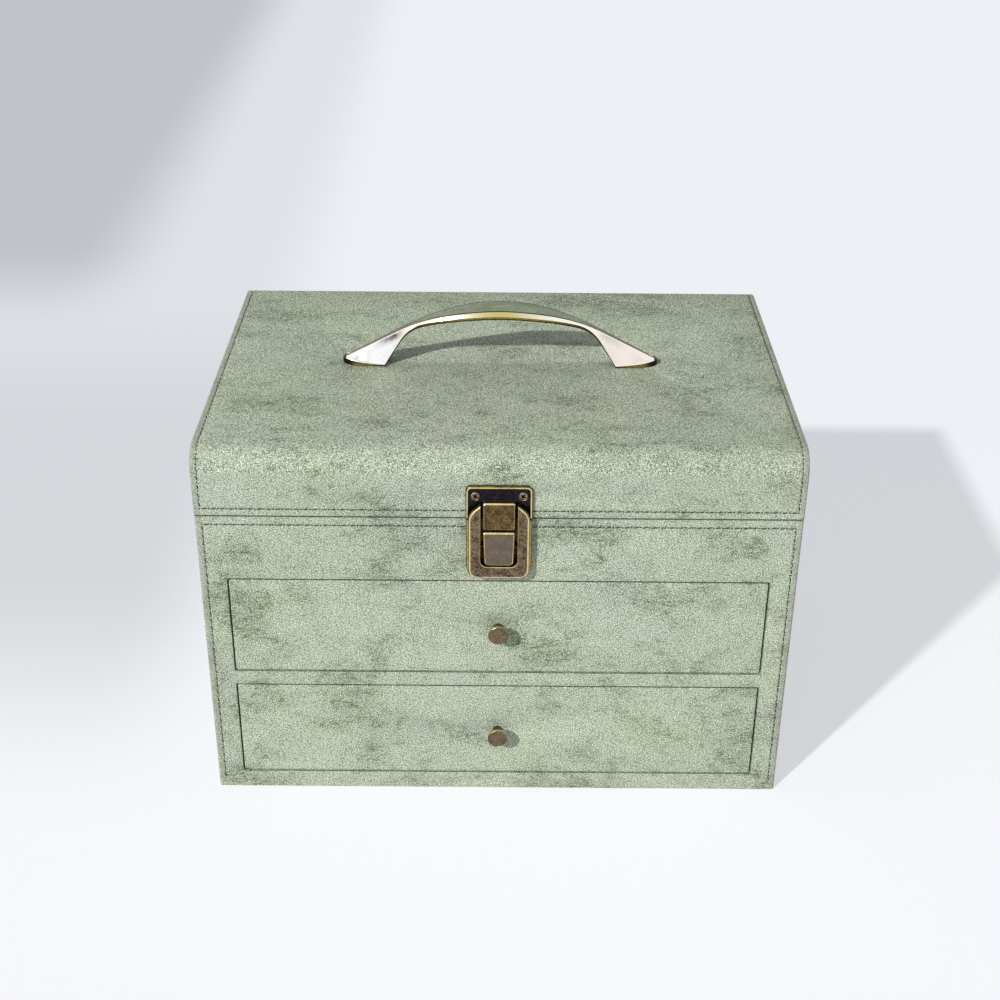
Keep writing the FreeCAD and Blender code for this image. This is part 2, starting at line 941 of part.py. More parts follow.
def make_hinge_leaf(side, leaf):
    """One leaf with its knuckles and the heel that stops the lid when it stands open."""
    middle = side * hinge_spacing / 2
    start = middle - hinge_length / 2
    end = middle + hinge_length / 2
    inner_start = middle - knuckle_length / 2
    inner_end = middle + knuckle_length / 2
    near = hinge_axis_z + leaf * seam_gap / 2
    far = hinge_axis_z + leaf * (heel_outer + hinge_leaf_height)
    corners = [
        (start, near, 0),
        (end, near, 0),
        (end, far, hinge_leaf_corner),
        (start, far, hinge_leaf_corner),
    ]
    plate = prism_y(corners, half_depth, half_depth + hinge_leaf_thickness)
    stop = lid_stop_angle / 2
    first, last = sorted((leaf * stop, leaf * 140.0))
    heel = sector(heel_inner, heel_outer, first, last, start, end)
    heel = heel.common(slab(start - 1, end + 1, half_depth, half_depth + box_depth, 0, lid_top))
    axis_start = Vector(start - 1, hinge_axis_y, hinge_axis_z)
    room = rod(axis_start, ACROSS, heel_inner, hinge_length + 2)
    body = plate.cut(room).fuse(heel)
    if leaf > 0:
        spans = [(inner_start + knuckle_gap, inner_end - knuckle_gap)]
    else:
        spans = [(start, inner_start), (inner_end, end)]
    web_half = hinge_leaf_thickness / 2
    for x0, x1 in spans:
        knuckle = rod(Vector(x0, hinge_axis_y, hinge_axis_z), ACROSS, knuckle_radius, x1 - x0)
        web_first, web_last = sorted((leaf * 95.0, leaf * 140.0))
        web = sector(knuckle_radius - web_half, heel_inner + web_half, web_first, web_last, x0, x1)
        web = web.common(slab(x0, x1, half_depth, half_depth + box_depth, 0, lid_top))
        body = body.fuse([knuckle, web])
    bore = rod(axis_start, ACROSS, hinge_pin_radius + pin_running_clearance, hinge_length + 2)
    body = body.cut(bore)
    return body.cut(grouped(hinge_screw_holes(leaf))).removeSplitter()


def make_hinge_pins():
    pins = []
    for side in (-1, 1):
        start = side * hinge_spacing / 2 - hinge_length / 2
        head = hinge_pin_head
        profile = [
            (-head, 0),
            (-head, hinge_pin_radius),
            (0, hinge_pin_radius + head / 2),
            (0, hinge_pin_radius),
            (hinge_length, hinge_pin_radius),
            (hinge_length, hinge_pin_radius + head / 2),
            (hinge_length + head, hinge_pin_radius),
            (hinge_length + head, 0),
        ]
        pins.append(turned(profile, Vector(start, hinge_axis_y, hinge_axis_z), ACROSS))
    return grouped(pins)


# Latch

def at_latch(corners):
    return [(latch_place + x, z, radius) for x, z, radius in corners]


def latch_recess(y0, y1):
    """The slot between the bezel's arms, open at the top."""
    corners = [
        (-recess_half, recess_bottom, recess_radius),
        (recess_half, recess_bottom, recess_radius),
        (recess_half, bezel_top + 1, 0),
        (-recess_half, bezel_top + 1, 0),
    ]
    return prism_y(at_latch(corners), y0, y1)


def bezel_outline():
    return [
        (-bezel_half, bezel_bottom, bezel_foot_radius),
        (bezel_half, bezel_bottom, bezel_foot_radius),
        (bezel_half, bezel_top - bezel_head_drop, bezel_bevel + 0.6),
        (bezel_head_half, bezel_top, bezel_bevel + 0.3),
        (-bezel_head_half, bezel_top, bezel_bevel + 0.3),
        (-bezel_half, bezel_top - bezel_head_drop, bezel_bevel + 0.6),
    ]


def make_latch_case():
    """The lower half: a flange and a raised bezel whose two arms reach up over the lid plate."""
    flange_corners = [
        (-latch_flange_half, flange_bottom, latch_flange_radius),
        (latch_flange_half, flange_bottom, latch_flange_radius),
        (latch_flange_half, flange_top, 0.4),
        (-latch_flange_half, flange_top, 0.4),
    ]
    flange = prism_y(at_latch(flange_corners), flange_front, front_face)
    bezel = prism_y(at_latch(bezel_outline()), bezel_front, front_face)
    bezel = bezel.makeChamfer(bezel_bevel, front_edges(bezel, bezel_front))
    behind_arms = slab(
        latch_place - box_width, latch_place + box_width, plate_front - arm_gap, 0, flange_top, lid_top
    )
    bezel = bezel.cut(behind_arms)
    case = flange.fuse(bezel).cut(latch_recess(bezel_front - 1, 0))
    pin_hole = rod(
        Vector(latch_place - lever_pin_half, lever_pin_y, lever_pin_z),
        ACROSS,
        lever_pin_radius + screw_clearance,
        2 * lever_pin_half,
    )
    case = case.cut(pin_hole)
    return case.cut(grouped(latch_stud_holes())).removeSplitter()


def latch_stud_places():
    places = []
    for side in (-1, 1):
        x = latch_place + side * latch_stud_half_spacing
        for rise in (latch_stud_low_rise, latch_stud_high_rise):
            places.append(Vector(x, inner_front - latch_stud_head_height, flange_bottom + rise))
    return places


def latch_stud_length():
    return (inner_front - latch_stud_head_height) - (front_face - latch_stud_bite)


def latch_stud_holes():
    """Holes and counterbores for the screws that hold the latch case from inside."""
    holes = []
    for place in latch_stud_places():
        holes.append(straight_hole(place, -BACKWARD, latch_stud_diameter, latch_stud_length() + 0.2))
        holes.append(straight_hole(place, BACKWARD, latch_stud_head_diameter, latch_stud_head_height + 1))
    return holes


def make_latch_case_screws():
    screws = []
    for place in latch_stud_places():
        screws.append(
            pan_head_screw(
                place,
                -BACKWARD,
                latch_stud_head_diameter,
                latch_stud_head_height,
                latch_stud_diameter,
                latch_stud_length(),
            )
        )
    return grouped(screws)


def make_latch_pin():
    start = Vector(latch_place - lever_pin_half, lever_pin_y, lever_pin_z)
    return rod(start, ACROSS, lever_pin_radius, 2 * lever_pin_half)


def latch_screw_places():
    places = []
    for side in (-1, 1):
        x = latch_place + side * latch_screw_half_spacing
        places.append(Vector(x, plate_front + plate_dish, plate_top - latch_screw_drop))
    return places


def latch_screw_holes():
    holes = []
    for place in latch_screw_places():
        holes.append(
            flat_head_hole(
                place, BACKWARD, latch_screw_head_diameter, latch_screw_diameter, latch_screw_length
            )
        )
    return holes


def make_latch_plate_screws():
    screws = []
    for place in latch_screw_places():
        screws.append(
            flat_head_screw(
                place, BACKWARD, latch_screw_head_diameter, latch_screw_diameter, latch_screw_length
            )
        )
    return grouped(screws)


def make_latch_plate():
    """The upper half: a dished plate with the tongue tile and the hooked strike under it."""
    plate_corners = [
        (-plate_half, plate_bottom, plate_dish + 0.2),
        (plate_half, plate_bottom, plate_dish + 0.2),
        (plate_half, plate_top, plate_radius),
        (-plate_half, plate_top, plate_radius),
    ]
    plate = prism_y(at_latch(plate_corners), plate_front, front_face)
    plate = plate.makeChamfer(plate_dish, front_edges(plate, plate_front))
    dish_half = plate_half - plate_rim
    dish_corners = [
        (-dish_half, plate_bottom - 1, 0),
        (dish_half, plate_bottom - 1, 0),
        (dish_half, plate_top - plate_rim, plate_radius - plate_rim),
        (-dish_half, plate_top - plate_rim, plate_radius - plate_rim),
    ]
    plate = plate.cut(prism_y(at_latch(dish_corners), plate_front - 1, plate_front + plate_dish))
    tongue_corners = [
        (-tongue_half, tongue_bottom, tile_bevel + 0.3),
        (tongue_half, tongue_bottom, tile_bevel + 0.3),
        (tongue_half, tongue_top, tongue_radius),
        (-tongue_half, tongue_top, tongue_radius),
    ]
    tongue = prism_y(at_latch(tongue_corners), tile_front, strike_back)
    tongue = tongue.makeChamfer(tile_bevel, front_edges(tongue, tile_front))
    strike = slab(
        latch_place - strike_half,
        latch_place + strike_half,
        strike_front,
        strike_back,
        hook_bottom,
        tongue_top,
    )
    hook = slab(
        latch_place - strike_half,
        latch_place + strike_half,
        strike_front - hook_reach,
        strike_back,
        hook_bottom,
        hook_top,
    )
    piece = plate.fuse([tongue, strike, hook])
    return piece.cut(grouped(latch_screw_holes())).removeSplitter()


def make_latch_lever():
    """The press tile: pushing its foot in swings the lip at its head clear of the hook."""
    corners = [
        (-lever_foot_half, lever_bottom, lever_foot_radius),
        (lever_foot_half, lever_bottom, lever_foot_radius),
        (lever_top_half, lever_top, tile_bevel + 0.3),
        (-lever_top_half, lever_top, tile_bevel + 0.3),
    ]
    tile = prism_y(at_latch(corners), tile_front, tile_back)
    tile = tile.makeChamfer(tile_bevel, front_edges(tile, tile_front))
    lip = slab(
        latch_place - lip_half, latch_place + lip_half, tile_back - 0.4, lip_back, lip_bottom, lip_top
    )
    pieces = [lip]
    for side in (-1, 1):
        near, far = sorted((side * lever_ear_inner, side * lever_ear_outer))
        start = Vector(latch_place + near, lever_pin_y, lever_pin_z)
        eye = rod(start, ACROSS, lever_ear_radius, far - near)
        neck = slab(
            latch_place + near,
            latch_place + far,
            tile_back - 0.4,
            lever_pin_y,
            lever_pin_z - lever_ear_radius,
            lever_pin_z + lever_ear_radius,
        )
        pieces += [eye, neck]
    lever = tile.fuse(pieces)
    start = Vector(latch_place - lever_pin_half, lever_pin_y, lever_pin_z)
    bore = rod(start, ACROSS, lever_pin_radius + pin_running_clearance, 2 * lever_pin_half)
    return lever.cut(bore).removeSplitter()


def bent_strip(start, bend, end, thickness, radius):
    """Outline of a strip whose middle line runs from start round the bend to end, turning left."""
    first = bend - start
    second = end - bend
    first.normalize()
    second.normalize()
    first_side = Vector(-first.y, first.x, 0) * (thickness / 2)
    second_side = Vector(-second.y, second.x, 0) * (thickness / 2)
    miter = (first_side + second_side) * (1 / (1 + first.dot(second)))
    corners = [
        (start - first_side, 0),
        (bend - miter, radius + thickness / 2),
        (end - second_side, 0),
        (end + second_side, 0),
        (bend + miter, radius - thickness / 2),
        (start + first_side, 0),
    ]
    return [(point.x, point.y, rounding) for point, rounding in corners]


def make_latch_spring():
    """A bent leaf spring: one leg lies on the tile's back, the other reaches for the pocket's floor."""
    middle = spring_thickness / 2
    start = Vector(tile_back + middle, lever_pin_z - spring_start_drop, 0)
    bend = Vector(tile_back + middle, lever_bottom + spring_bend_rise, 0)
    end = Vector(pocket_floor - spring_end_gap - middle, lever_pin_z - spring_end_drop, 0)
    outline = bent_strip(start, bend, end, spring_thickness, spring_bend_radius)
    return prism_x(outline, latch_place - spring_width / 2, latch_place + spring_width / 2)


# Drawers

def drawer_levels(name):
    """Bottom and top of the named drawer's opening."""
    if name == "lower_drawer":
        return lower_opening, lower_opening_top
    return upper_opening, upper_opening_top


def drawer_front_outline(bottom, top, inset, radius):
    half = opening_half - drawer_gap - inset
    low = bottom + drawer_gap + inset
    high = top - drawer_gap - inset
    return rectangle(-half, half, low, high, radius)


def knob_place(bottom, top):
    return Vector(0, front_face, (bottom + top) / 2)


def make_drawer(name):
    """All the pieces of one drawer, by node name."""
    bottom, top = drawer_levels(name)
    wall_half = opening_half - drawer_side_clearance
    wall_inner = wall_half - drawer_wall
    wall_front = -board_half_depth + drawer_front_board
    wall_back = inner_back - drawer_back_space
    floor_low = bottom + drawer_lift
    floor_top = floor_low + drawer_floor
    wall_top = top - drawer_wall_drop
    knob_at = knob_place(bottom, top)
    screw_seat = Vector(0, wall_front - knob_screw_head_height - screw_head_sink, knob_at.z)
    shank = straight_hole(Vector(0, -box_depth, knob_at.z), BACKWARD, knob_screw_diameter, box_depth)
    head_room = straight_hole(screw_seat, BACKWARD, knob_screw_head_diameter, drawer_front_board)

    board_outline = drawer_front_outline(bottom, top, cover, drawer_front_radius - cover)
    front = prism_y(board_outline, -board_half_depth, wall_front)
    front = front.cut(shank).cut(head_room)

    skin = prism_y(drawer_front_outline(bottom, top, 0, drawer_front_radius), front_face, wall_front)
    skin = skin.makeChamfer(drawer_edge_softening, front_edges(skin, front_face))
    skin = skin.cut(prism_y(board_outline, -board_half_depth, wall_front + 1)).cut(shank)

    left = slab(-wall_half, -wall_inner, wall_front, wall_back, floor_low, wall_top)
    right = slab(wall_inner, wall_half, wall_front, wall_back, floor_low, wall_top)
    back = slab(-wall_inner, wall_inner, wall_back - drawer_wall, wall_back, floor_low, wall_top)
    floor = slab(-wall_inner, wall_inner, wall_front, wall_back - drawer_wall, floor_low, floor_top)

    liner = slab(
        -wall_inner, wall_inner, wall_front, wall_back - drawer_wall, floor_top, wall_top - lining_drop
    )
    hollow = slab(
        -wall_inner + lining,
        wall_inner - lining,
        wall_front + lining,
        wall_back - drawer_wall - lining,
        floor_top + lining,
        wall_top + 1,
    )
    liner = liner.cut(hollow)

    low = floor_top + lining
    near = wall_front + lining
    far = wall_back - drawer_wall - lining
    half = divider_thickness / 2
    if name == "upper_drawer":
        places = (-upper_divider_offset, upper_divider_offset)
        height = upper_divider_height
    else:
        places = (lower_divider_place,)
        height = lower_divider_height
    dividers = [slab(x - half, x + half, near, far, low, low + height) for x in places]

    screw_length = screw_seat.y - (front_face - knob_screw_bite)
    screw = pan_head_screw(
        screw_seat,
        -BACKWARD,
        knob_screw_head_diameter,
        knob_screw_head_height,
        knob_screw_diameter,
        screw_length - screw_end_gap,
    )
    return {
        name + "_front": front,
        name + "_front_cover": skin,
        name + "_left_side": left,
        name + "_right_side": right,
        name + "_back": back,
        name + "_bottom": floor,
        name + "_lining": liner,
        name + "_dividers": grouped(dividers),
        name + "_knob": make_knob(knob_at),
        name + "_knob_screw": screw,
    }


def make_knob(place):
    """A turned knob: collar, waisted neck and a flat head with eased edges."""
    head = knob_diameter / 2
    neck = knob_neck_diameter / 2
    collar = knob_collar_diameter / 2
    head_start = knob_reach - knob_head_length
    profile = [
        (0, 0),
        (0, collar),
        (knob_collar_length, collar),
        (knob_collar_length + knob_neck_ease, neck),
        (head_start - knob_neck_ease, neck),
        (head_start, head - knob_edge),
        (head_start + knob_edge, head),
        (knob_reach - knob_edge, head),
        (knob_reach - 0.3 * knob_edge, head - 0.3 * knob_edge),
        (knob_reach, head - knob_edge),
        (knob_reach, 0),
    ]
    knob = turned(profile, place, -BACKWARD)
    return knob.cut(straight_hole(place, -BACKWARD, knob_screw_diameter, knob_screw_bite))


def make_parts():
    parts = {
        "base_panel": make_base_panel(),
        "bottom_board": make_bottom_board(),
        "left_side_board": make_side_board(-1),
        "right_side_board": make_side_board(1),
        "back_board": make_back_board(),
        "front_frame": make_front_frame(),
        "case_wrap": make_case_wrap(),
        "front_wrap": make_front_wrap(),
        "drawer_shelf": make_drawer_shelf(),
        "compartment_floor": make_compartment_floor(),
        "rim_liner": make_rim_liner(),
        "compartment_lining": make_compartment_lining(),
        "tray_dividers": make_tray_dividers(),
        "ring_rolls": make_ring_rolls(),
        "left_hinge_case_leaf": make_hinge_leaf(-1, -1),
        "right_hinge_case_leaf": make_hinge_leaf(1, -1),
        "hinge_pins": make_hinge_pins(),
        "hinge_case_screws": make_hinge_screws(-1),
        "latch_case": make_latch_case(),
        "latch_case_screws": make_latch_case_screws(),
        "latch_pin": make_latch_pin(),
        "latch_lever": make_latch_lever(),
        "latch_spring": make_latch_spring(),
        "lid_top_board": make_lid_top_board(),
        "lid_left_cheek": make_lid_cheek(-1),
        "lid_right_cheek": make_lid_cheek(1),
        "lid_back_rail": make_lid_back_rail(),
        "lid_wrap": make_lid_wrap(),
        "lid_side_covers": make_lid_side_covers(),
        "lid_lining": make_lid_lining(),
        "lid_mirror": make_lid_mirror(),
        "mirror_frame": make_mirror_frame(),
        "left_hinge_lid_leaf": make_hinge_leaf(-1, 1),
        "right_hinge_lid_leaf": make_hinge_leaf(1, 1),
        "hinge_lid_screws": make_hinge_screws(1),
        "handle": make_handle(),
        "handle_screws": make_handle_screws(),
        "latch_plate": make_latch_plate(),
        "latch_plate_screws": make_latch_plate_screws(),
    }
    for name in ("upper_drawer", "lower_drawer"):
        parts.update(make_drawer(name))
    return parts


def export_parts(parts):
    os.makedirs("parts", exist_ok=True)
    for name, shape in parts.items():
        shape.exportStep("parts/" + name + ".step")


export_parts(make_parts())
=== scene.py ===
import json
import math
import operator
import random

import bmesh
import bpy
from mathutils import Matrix, Vector

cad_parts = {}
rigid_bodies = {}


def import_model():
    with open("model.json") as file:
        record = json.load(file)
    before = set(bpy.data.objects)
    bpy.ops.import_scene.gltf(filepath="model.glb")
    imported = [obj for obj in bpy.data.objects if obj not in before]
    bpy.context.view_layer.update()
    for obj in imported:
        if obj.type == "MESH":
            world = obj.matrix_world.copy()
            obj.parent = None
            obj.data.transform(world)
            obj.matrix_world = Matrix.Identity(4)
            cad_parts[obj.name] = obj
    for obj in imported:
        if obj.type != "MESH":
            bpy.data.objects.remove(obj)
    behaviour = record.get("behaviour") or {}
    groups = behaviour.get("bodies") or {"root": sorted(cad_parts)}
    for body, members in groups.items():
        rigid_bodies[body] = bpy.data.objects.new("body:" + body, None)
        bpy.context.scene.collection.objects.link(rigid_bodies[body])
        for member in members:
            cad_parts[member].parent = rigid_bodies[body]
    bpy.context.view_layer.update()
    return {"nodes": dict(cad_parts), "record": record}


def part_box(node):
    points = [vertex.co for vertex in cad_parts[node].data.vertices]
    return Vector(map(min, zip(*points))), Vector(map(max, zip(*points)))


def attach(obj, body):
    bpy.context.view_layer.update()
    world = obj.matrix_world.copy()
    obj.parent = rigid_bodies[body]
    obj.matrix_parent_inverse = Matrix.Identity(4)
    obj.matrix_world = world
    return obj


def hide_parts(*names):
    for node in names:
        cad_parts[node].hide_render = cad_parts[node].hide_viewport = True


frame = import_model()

# Jewelry box in mottled leatherette with a bow handle, a press latch and two drawers.
# Metres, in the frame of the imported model: +X right, +Y back, +Z up, origin under the case.

MM = 0.001
BACKWARD = Vector((0, 1, 0))
FORWARD = -BACKWARD
UPWARD = Vector((0, 0, 1))
DRAWERS = ("upper_drawer", "lower_drawer")

nodes = frame["nodes"]
lid_low, lid_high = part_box("lid_wrap")
case_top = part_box("case_wrap")[1].z
front_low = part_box("front_wrap")[0]
seam = (lid_low.z + case_top) / 2
front_face = front_low.y
half_width = lid_high.x


# Shader building

class Value:
    """A shader socket that takes part in ordinary arithmetic."""

    def __init__(self, finish, socket):
        self.finish = finish
        self.socket = socket

    def math(self, operation, *terms):
        return self.finish.node("ShaderNodeMath", {"operation": operation}, dict(enumerate(terms)))

    def __add__(self, other):
        return self.math("ADD", self, other)

    __radd__ = __add__

    def __sub__(self, other):
        return self.math("SUBTRACT", self, other)

    def __rsub__(self, other):
        return self.math("SUBTRACT", other, self)

    def __mul__(self, other):
        return self.math("MULTIPLY", self, other)

    __rmul__ = __mul__

    def __abs__(self):
        return self.math("ABSOLUTE", self)

    def highest(self, other):
        return self.math("MAXIMUM", self, other)

    def ramp(self, low, high, start=0.0, end=1.0):
        """Runs smoothly from start to end while the value runs from low to high."""
        inputs = {0: self, 1: low, 2: high, 3: start, 4: end}
        return self.finish.node("ShaderNodeMapRange", {"interpolation_type": "SMOOTHSTEP"}, inputs)


class Finish:
    """A material, or the world, while it is put together."""

    def __init__(self, name, kind="materials"):
        self.made = getattr(bpy.data, kind).new(name)
        self.made.use_nodes = True
        self.tree = self.made.node_tree
        self.tree.nodes.clear()
        self.place = self.node("ShaderNodeTexCoord", output="Object")

    def node(self, kind, settings=None, inputs=None, output=0):
        """Adds a node, first its settings, then the values or links of its sockets."""
        made = self.tree.nodes.new(kind)
        for name, setting in (settings or {}).items():
            setattr(made, name, setting)
        for name, value in (inputs or {}).items():
            if isinstance(value, Value):
                self.tree.links.new(value.socket, made.inputs[name])
            else:
                made.inputs[name].default_value = value
        return None if output is None else Value(self, made.outputs[output])

    def axis(self, name):
        """One coordinate of the place, in metres."""
        return self.node("ShaderNodeSeparateXYZ", inputs={0: self.place}, output=name)

    def stretched(self, scale, turn=(0, 0, 0)):
        """The place with its axes scaled and turned."""
        inputs = {"Vector": self.place, "Rotation": turn, "Scale": scale}
        return self.node("ShaderNodeMapping", inputs=inputs)

    def noise(self, size, detail=2.0, roughness=0.5, distortion=0.0, place=None):
        """Cloudy noise whose features are about size metres across."""
        inputs = {
            "Vector": place or self.place,
            "Scale": 1 / size,
            "Detail": detail,
            "Roughness": roughness,
            "Distortion": distortion,
        }
        return self.node("ShaderNodeTexNoise", inputs=inputs)

    def pebbles(self, size):
        """Rounded cells of about size metres, high in the middle of each cell."""
        inputs = {"Vector": self.place, "Scale": 1 / size, "Smoothness": 0.35}
        cells = self.node("ShaderNodeTexVoronoi", {"feature": "SMOOTH_F1"}, inputs)
        return 1.0 - cells

    def mix(self, share, first, second):
        """A colour between two colours; one given by three numbers is as it looks."""
        inputs = {0: share, 6: first, 7: second}
        for end, colour in inputs.items():
            if isinstance(colour, tuple) and len(colour) == 3:
                inputs[end] = shade(*colour)
        return self.node("ShaderNodeMix", {"data_type": "RGBA"}, inputs, 2)

    def seen(self):
        """1 where the camera or shiny metal looks, 0 for the light that falls on things."""
        to_camera = self.node("ShaderNodeLightPath", output="Is Camera Ray")
        return to_camera.highest(self.node("ShaderNodeLightPath", output="Is Glossy Ray"))

    def relief(self, height):
        """A normal from a height in metres."""
        inputs = {"Height": height, "Distance": 1.0, "Strength": 1.0}
        return self.node("ShaderNodeBump", inputs=inputs)

    def shader(self, **sockets):
        """A surface shader; underscores in the sockets' names stand for spaces."""
        inputs = {name.replace("_", " "): value for name, value in sockets.items()}
        return self.node("ShaderNodeBsdfPrincipled", inputs=inputs)

    def close(self, shader, end="ShaderNodeOutputMaterial"):
        """Makes a shader the surface."""
        self.node(end, inputs={"Surface": shader}, output=None)
        return self.made

    def surface(self, height, **sockets):
        """Closes the material with one shader over a relief of the given height in metres."""
        return self.close(self.shader(Normal=self.relief(height), **sockets))


def shade(*parts):
    """A colour given as it looks, from 0 to 255, as the shader's linear colour."""
    linear = []
    for share in (part / 255 for part in parts):
        linear.append(share / 12.92 if share <= 0.04045 else ((share + 0.055) / 1.055) ** 2.4)
    return (*linear, 1.0)


# Leatherette

LID_ROW = lid_low.z + 3.05 * MM
CASE_ROW = case_top - 3.8 * MM
LID_COLUMN = half_width - 2.6 * MM
CASE_COLUMN = half_width - 3.0 * MM
GROOVE_HALF = 0.9 * MM
SHADED_FROM = 22 * MM
SHADED_TO = 92 * MM


def groove(value, middle):
    """1 on the line at middle, falling to 0 at the groove's sides."""
    return abs(value - middle).ramp(0.0, GROOVE_HALF, 1.0, 0.0)


def stitch_grooves(finish, column, row, row_low):
    """The pressed lines under the stitches: two upright columns and one row on the front."""
    across = abs(finish.axis("X"))
    up = finish.axis("Z")
    columns = groove(across, column) * up.ramp(row_low, row_low + MM)
    on_front = finish.axis("Y").ramp(front_face + 1.5 * MM, front_face + 2 * MM, 1.0, 0.0)
    within = across.ramp(column - 0.2 * MM, column, 1.0, 0.0)
    return columns.highest(groove(up, row) * on_front * within)


def frame_distance(finish, half, low, high):
    """Distance outside a rectangle on the front, negative within it."""
    across = abs(finish.axis("X")) - half
    up = abs(finish.axis("Z") - (low + high) / 2) - (high - low) / 2
    return across.highest(up)


def leatherette(name, grooves=None, gap_shade=None, shaded=0.0):
    """Embossed leatherette: mottled sage green, fine grain, creases in the dark cloudy places, with
    painted shade in the pits, creases, stitch grooves and gaps, painted highlights on the grain's
    tops and, where shaded is set, painted shade towards the back.
    """
    finish = Finish(name)
    drawn = finish.stretched((0.8, 1.35, 1.1), turn=(0.25, 0.15, 0.2))
    clouds = finish.noise(30 * MM, detail=3.0, roughness=0.55, distortion=0.5, place=drawn)
    wisps = finish.noise(12 * MM, detail=4.0, roughness=0.62, distortion=0.8, place=drawn)
    flecks = finish.noise(3.2 * MM, detail=3.0, roughness=0.6)
    dark = (clouds * 0.46 + wisps * 0.38 + flecks * 0.16).ramp(0.42, 0.65)
    olive = finish.noise(55 * MM, detail=1.0).ramp(0.4, 0.62)
    fold_place = finish.stretched((0.4, 1.3, 1.5), turn=(0.3, 0.5, 0.5))
    folds = finish.noise(4.6 * MM, detail=2.5, roughness=0.6, distortion=1.4, place=fold_place)
    crease = abs(folds - 0.5).ramp(0.0, 0.045, 1.0, 0.0) * dark.ramp(0.3, 0.95)
    worms = finish.noise(0.3 * MM, detail=1.5, roughness=0.7, distortion=0.3)
    pebble = finish.pebbles(0.66 * MM)
    grain = worms * 0.84 + pebble * 0.16

    light = finish.mix(olive, (186, 195, 176), (185, 196, 171))
    deep = finish.mix(olive, (136, 147, 126), (128, 141, 108))
    # painted shade: darker towards the back of the top, as strong as shaded
    back_shade = finish.axis("Y").ramp(SHADED_FROM, SHADED_TO) * shaded
    cloth = finish.mix((dark * 0.68).highest(back_shade * 0.8 + dark * 0.3), light, deep)
    # painted shade in the grain's pits
    pit_shade = grain.ramp(0.56, 0.41) * dark.ramp(0.0, 1.0, 0.84, 0.95)
    cloth = finish.mix(pit_shade, cloth, (72, 80, 52))
    # painted highlight on the grain's tops
    cloth = finish.mix(grain.ramp(0.51, 0.65), cloth, (238, 248, 222))
    # painted shade in the creases
    cloth = finish.mix(crease * 0.8, cloth, (78, 90, 64))
    height = grain * (0.2 * MM) - crease * (0.12 * MM) + wisps * (0.35 * MM)
    rough = grain.ramp(0.35, 0.7, 0.68, 0.5)
    if grooves:
        outside = abs(finish.axis("X")).ramp(grooves[0] + 0.3 * MM, grooves[0] + 0.9 * MM)
        greyer = finish.mix(pit_shade, (170, 172, 160), (104, 106, 88))
        cloth = finish.mix(outside * 0.6, cloth, greyer)
        groove_and_shade = stitch_grooves(finish, *grooves)
        # painted shade in the pressed stitch grooves
        cloth = finish.mix(groove_and_shade * 0.12, cloth, (96, 116, 84))
        height = height - groove_and_shade * (0.14 * MM)
    if gap_shade:
        # painted shade along the seam and in the gaps round the drawers
        cloth = finish.mix(gap_shade(finish) * 0.75, cloth, (56, 60, 42))
    return finish.surface(height, Base_Color=cloth, Roughness=rough, Specular_IOR_Level=0.3)


# Metals

RIDGE_SLOPE = 0.538
RIDGE_LINE = lid_high.z + 39.15 * MM


def antique_brass(name, bright, dark, darkness=0.5, roughness=0.34):
    """Brass with a brown patina that is broken up by fine specks."""
    finish = Finish(name)
    cloud = finish.noise(3.2 * MM, detail=3.0, roughness=0.6)
    speck = finish.noise(0.55 * MM, detail=3.0, roughness=0.7)
    patina = (cloud * 0.35 + speck * 0.65).ramp(darkness - 0.12, darkness + 0.14, 1.0, 0.0)
    return finish.surface(
        speck * (0.012 * MM),
        Base_Color=finish.mix(patina, bright, dark),
        Metallic=1.0,
        Roughness=patina.ramp(0.0, 1.0, roughness, roughness + 0.14),
    )


def plain_metal(name, colour, roughness=0.3):
    """Plated metal with faint cloudiness and drawing marks."""
    finish = Finish(name)
    cloud = finish.noise(4 * MM, detail=2.0)
    marks = finish.noise(0.3 * MM, detail=1.0, place=finish.stretched((0.1, 1, 1)))
    colour = shade(*colour)
    dull = tuple(part * 0.72 for part in colour[:3]) + (1.0,)
    return finish.surface(
        marks * (0.004 * MM),
        Base_Color=finish.mix(cloud.ramp(0.35, 0.7), colour, dull),
        Metallic=1.0,
        Roughness=marks.ramp(0.3, 0.7, roughness - 0.08, roughness + 0.1),
    )


def handle_finish(finish, colour, roughness):
    """Rubbed cast metal of the handle with a few faint specks."""
    speck = finish.noise(0.5 * MM, detail=3.0, roughness=0.7)
    worn = speck.ramp(0.56, 0.72)
    return finish.surface(
        speck * (0.008 * MM),
        Base_Color=finish.mix(worn * 0.35, colour, (150, 134, 108)),
        Metallic=1.0,
        Roughness=worn.ramp(0.0, 1.0, roughness, roughness + 0.12),
    )


def bow_brass(name):
    """The front of the bow: rubbed ivory brass, greener and darker in the middle."""
    finish = Finish(name)
    reach = abs(finish.axis("X"))
    gold = finish.mix(reach.ramp(0.0, 26 * MM), (206, 190, 122), (255, 248, 226))
    return handle_finish(finish, gold, 0.2)


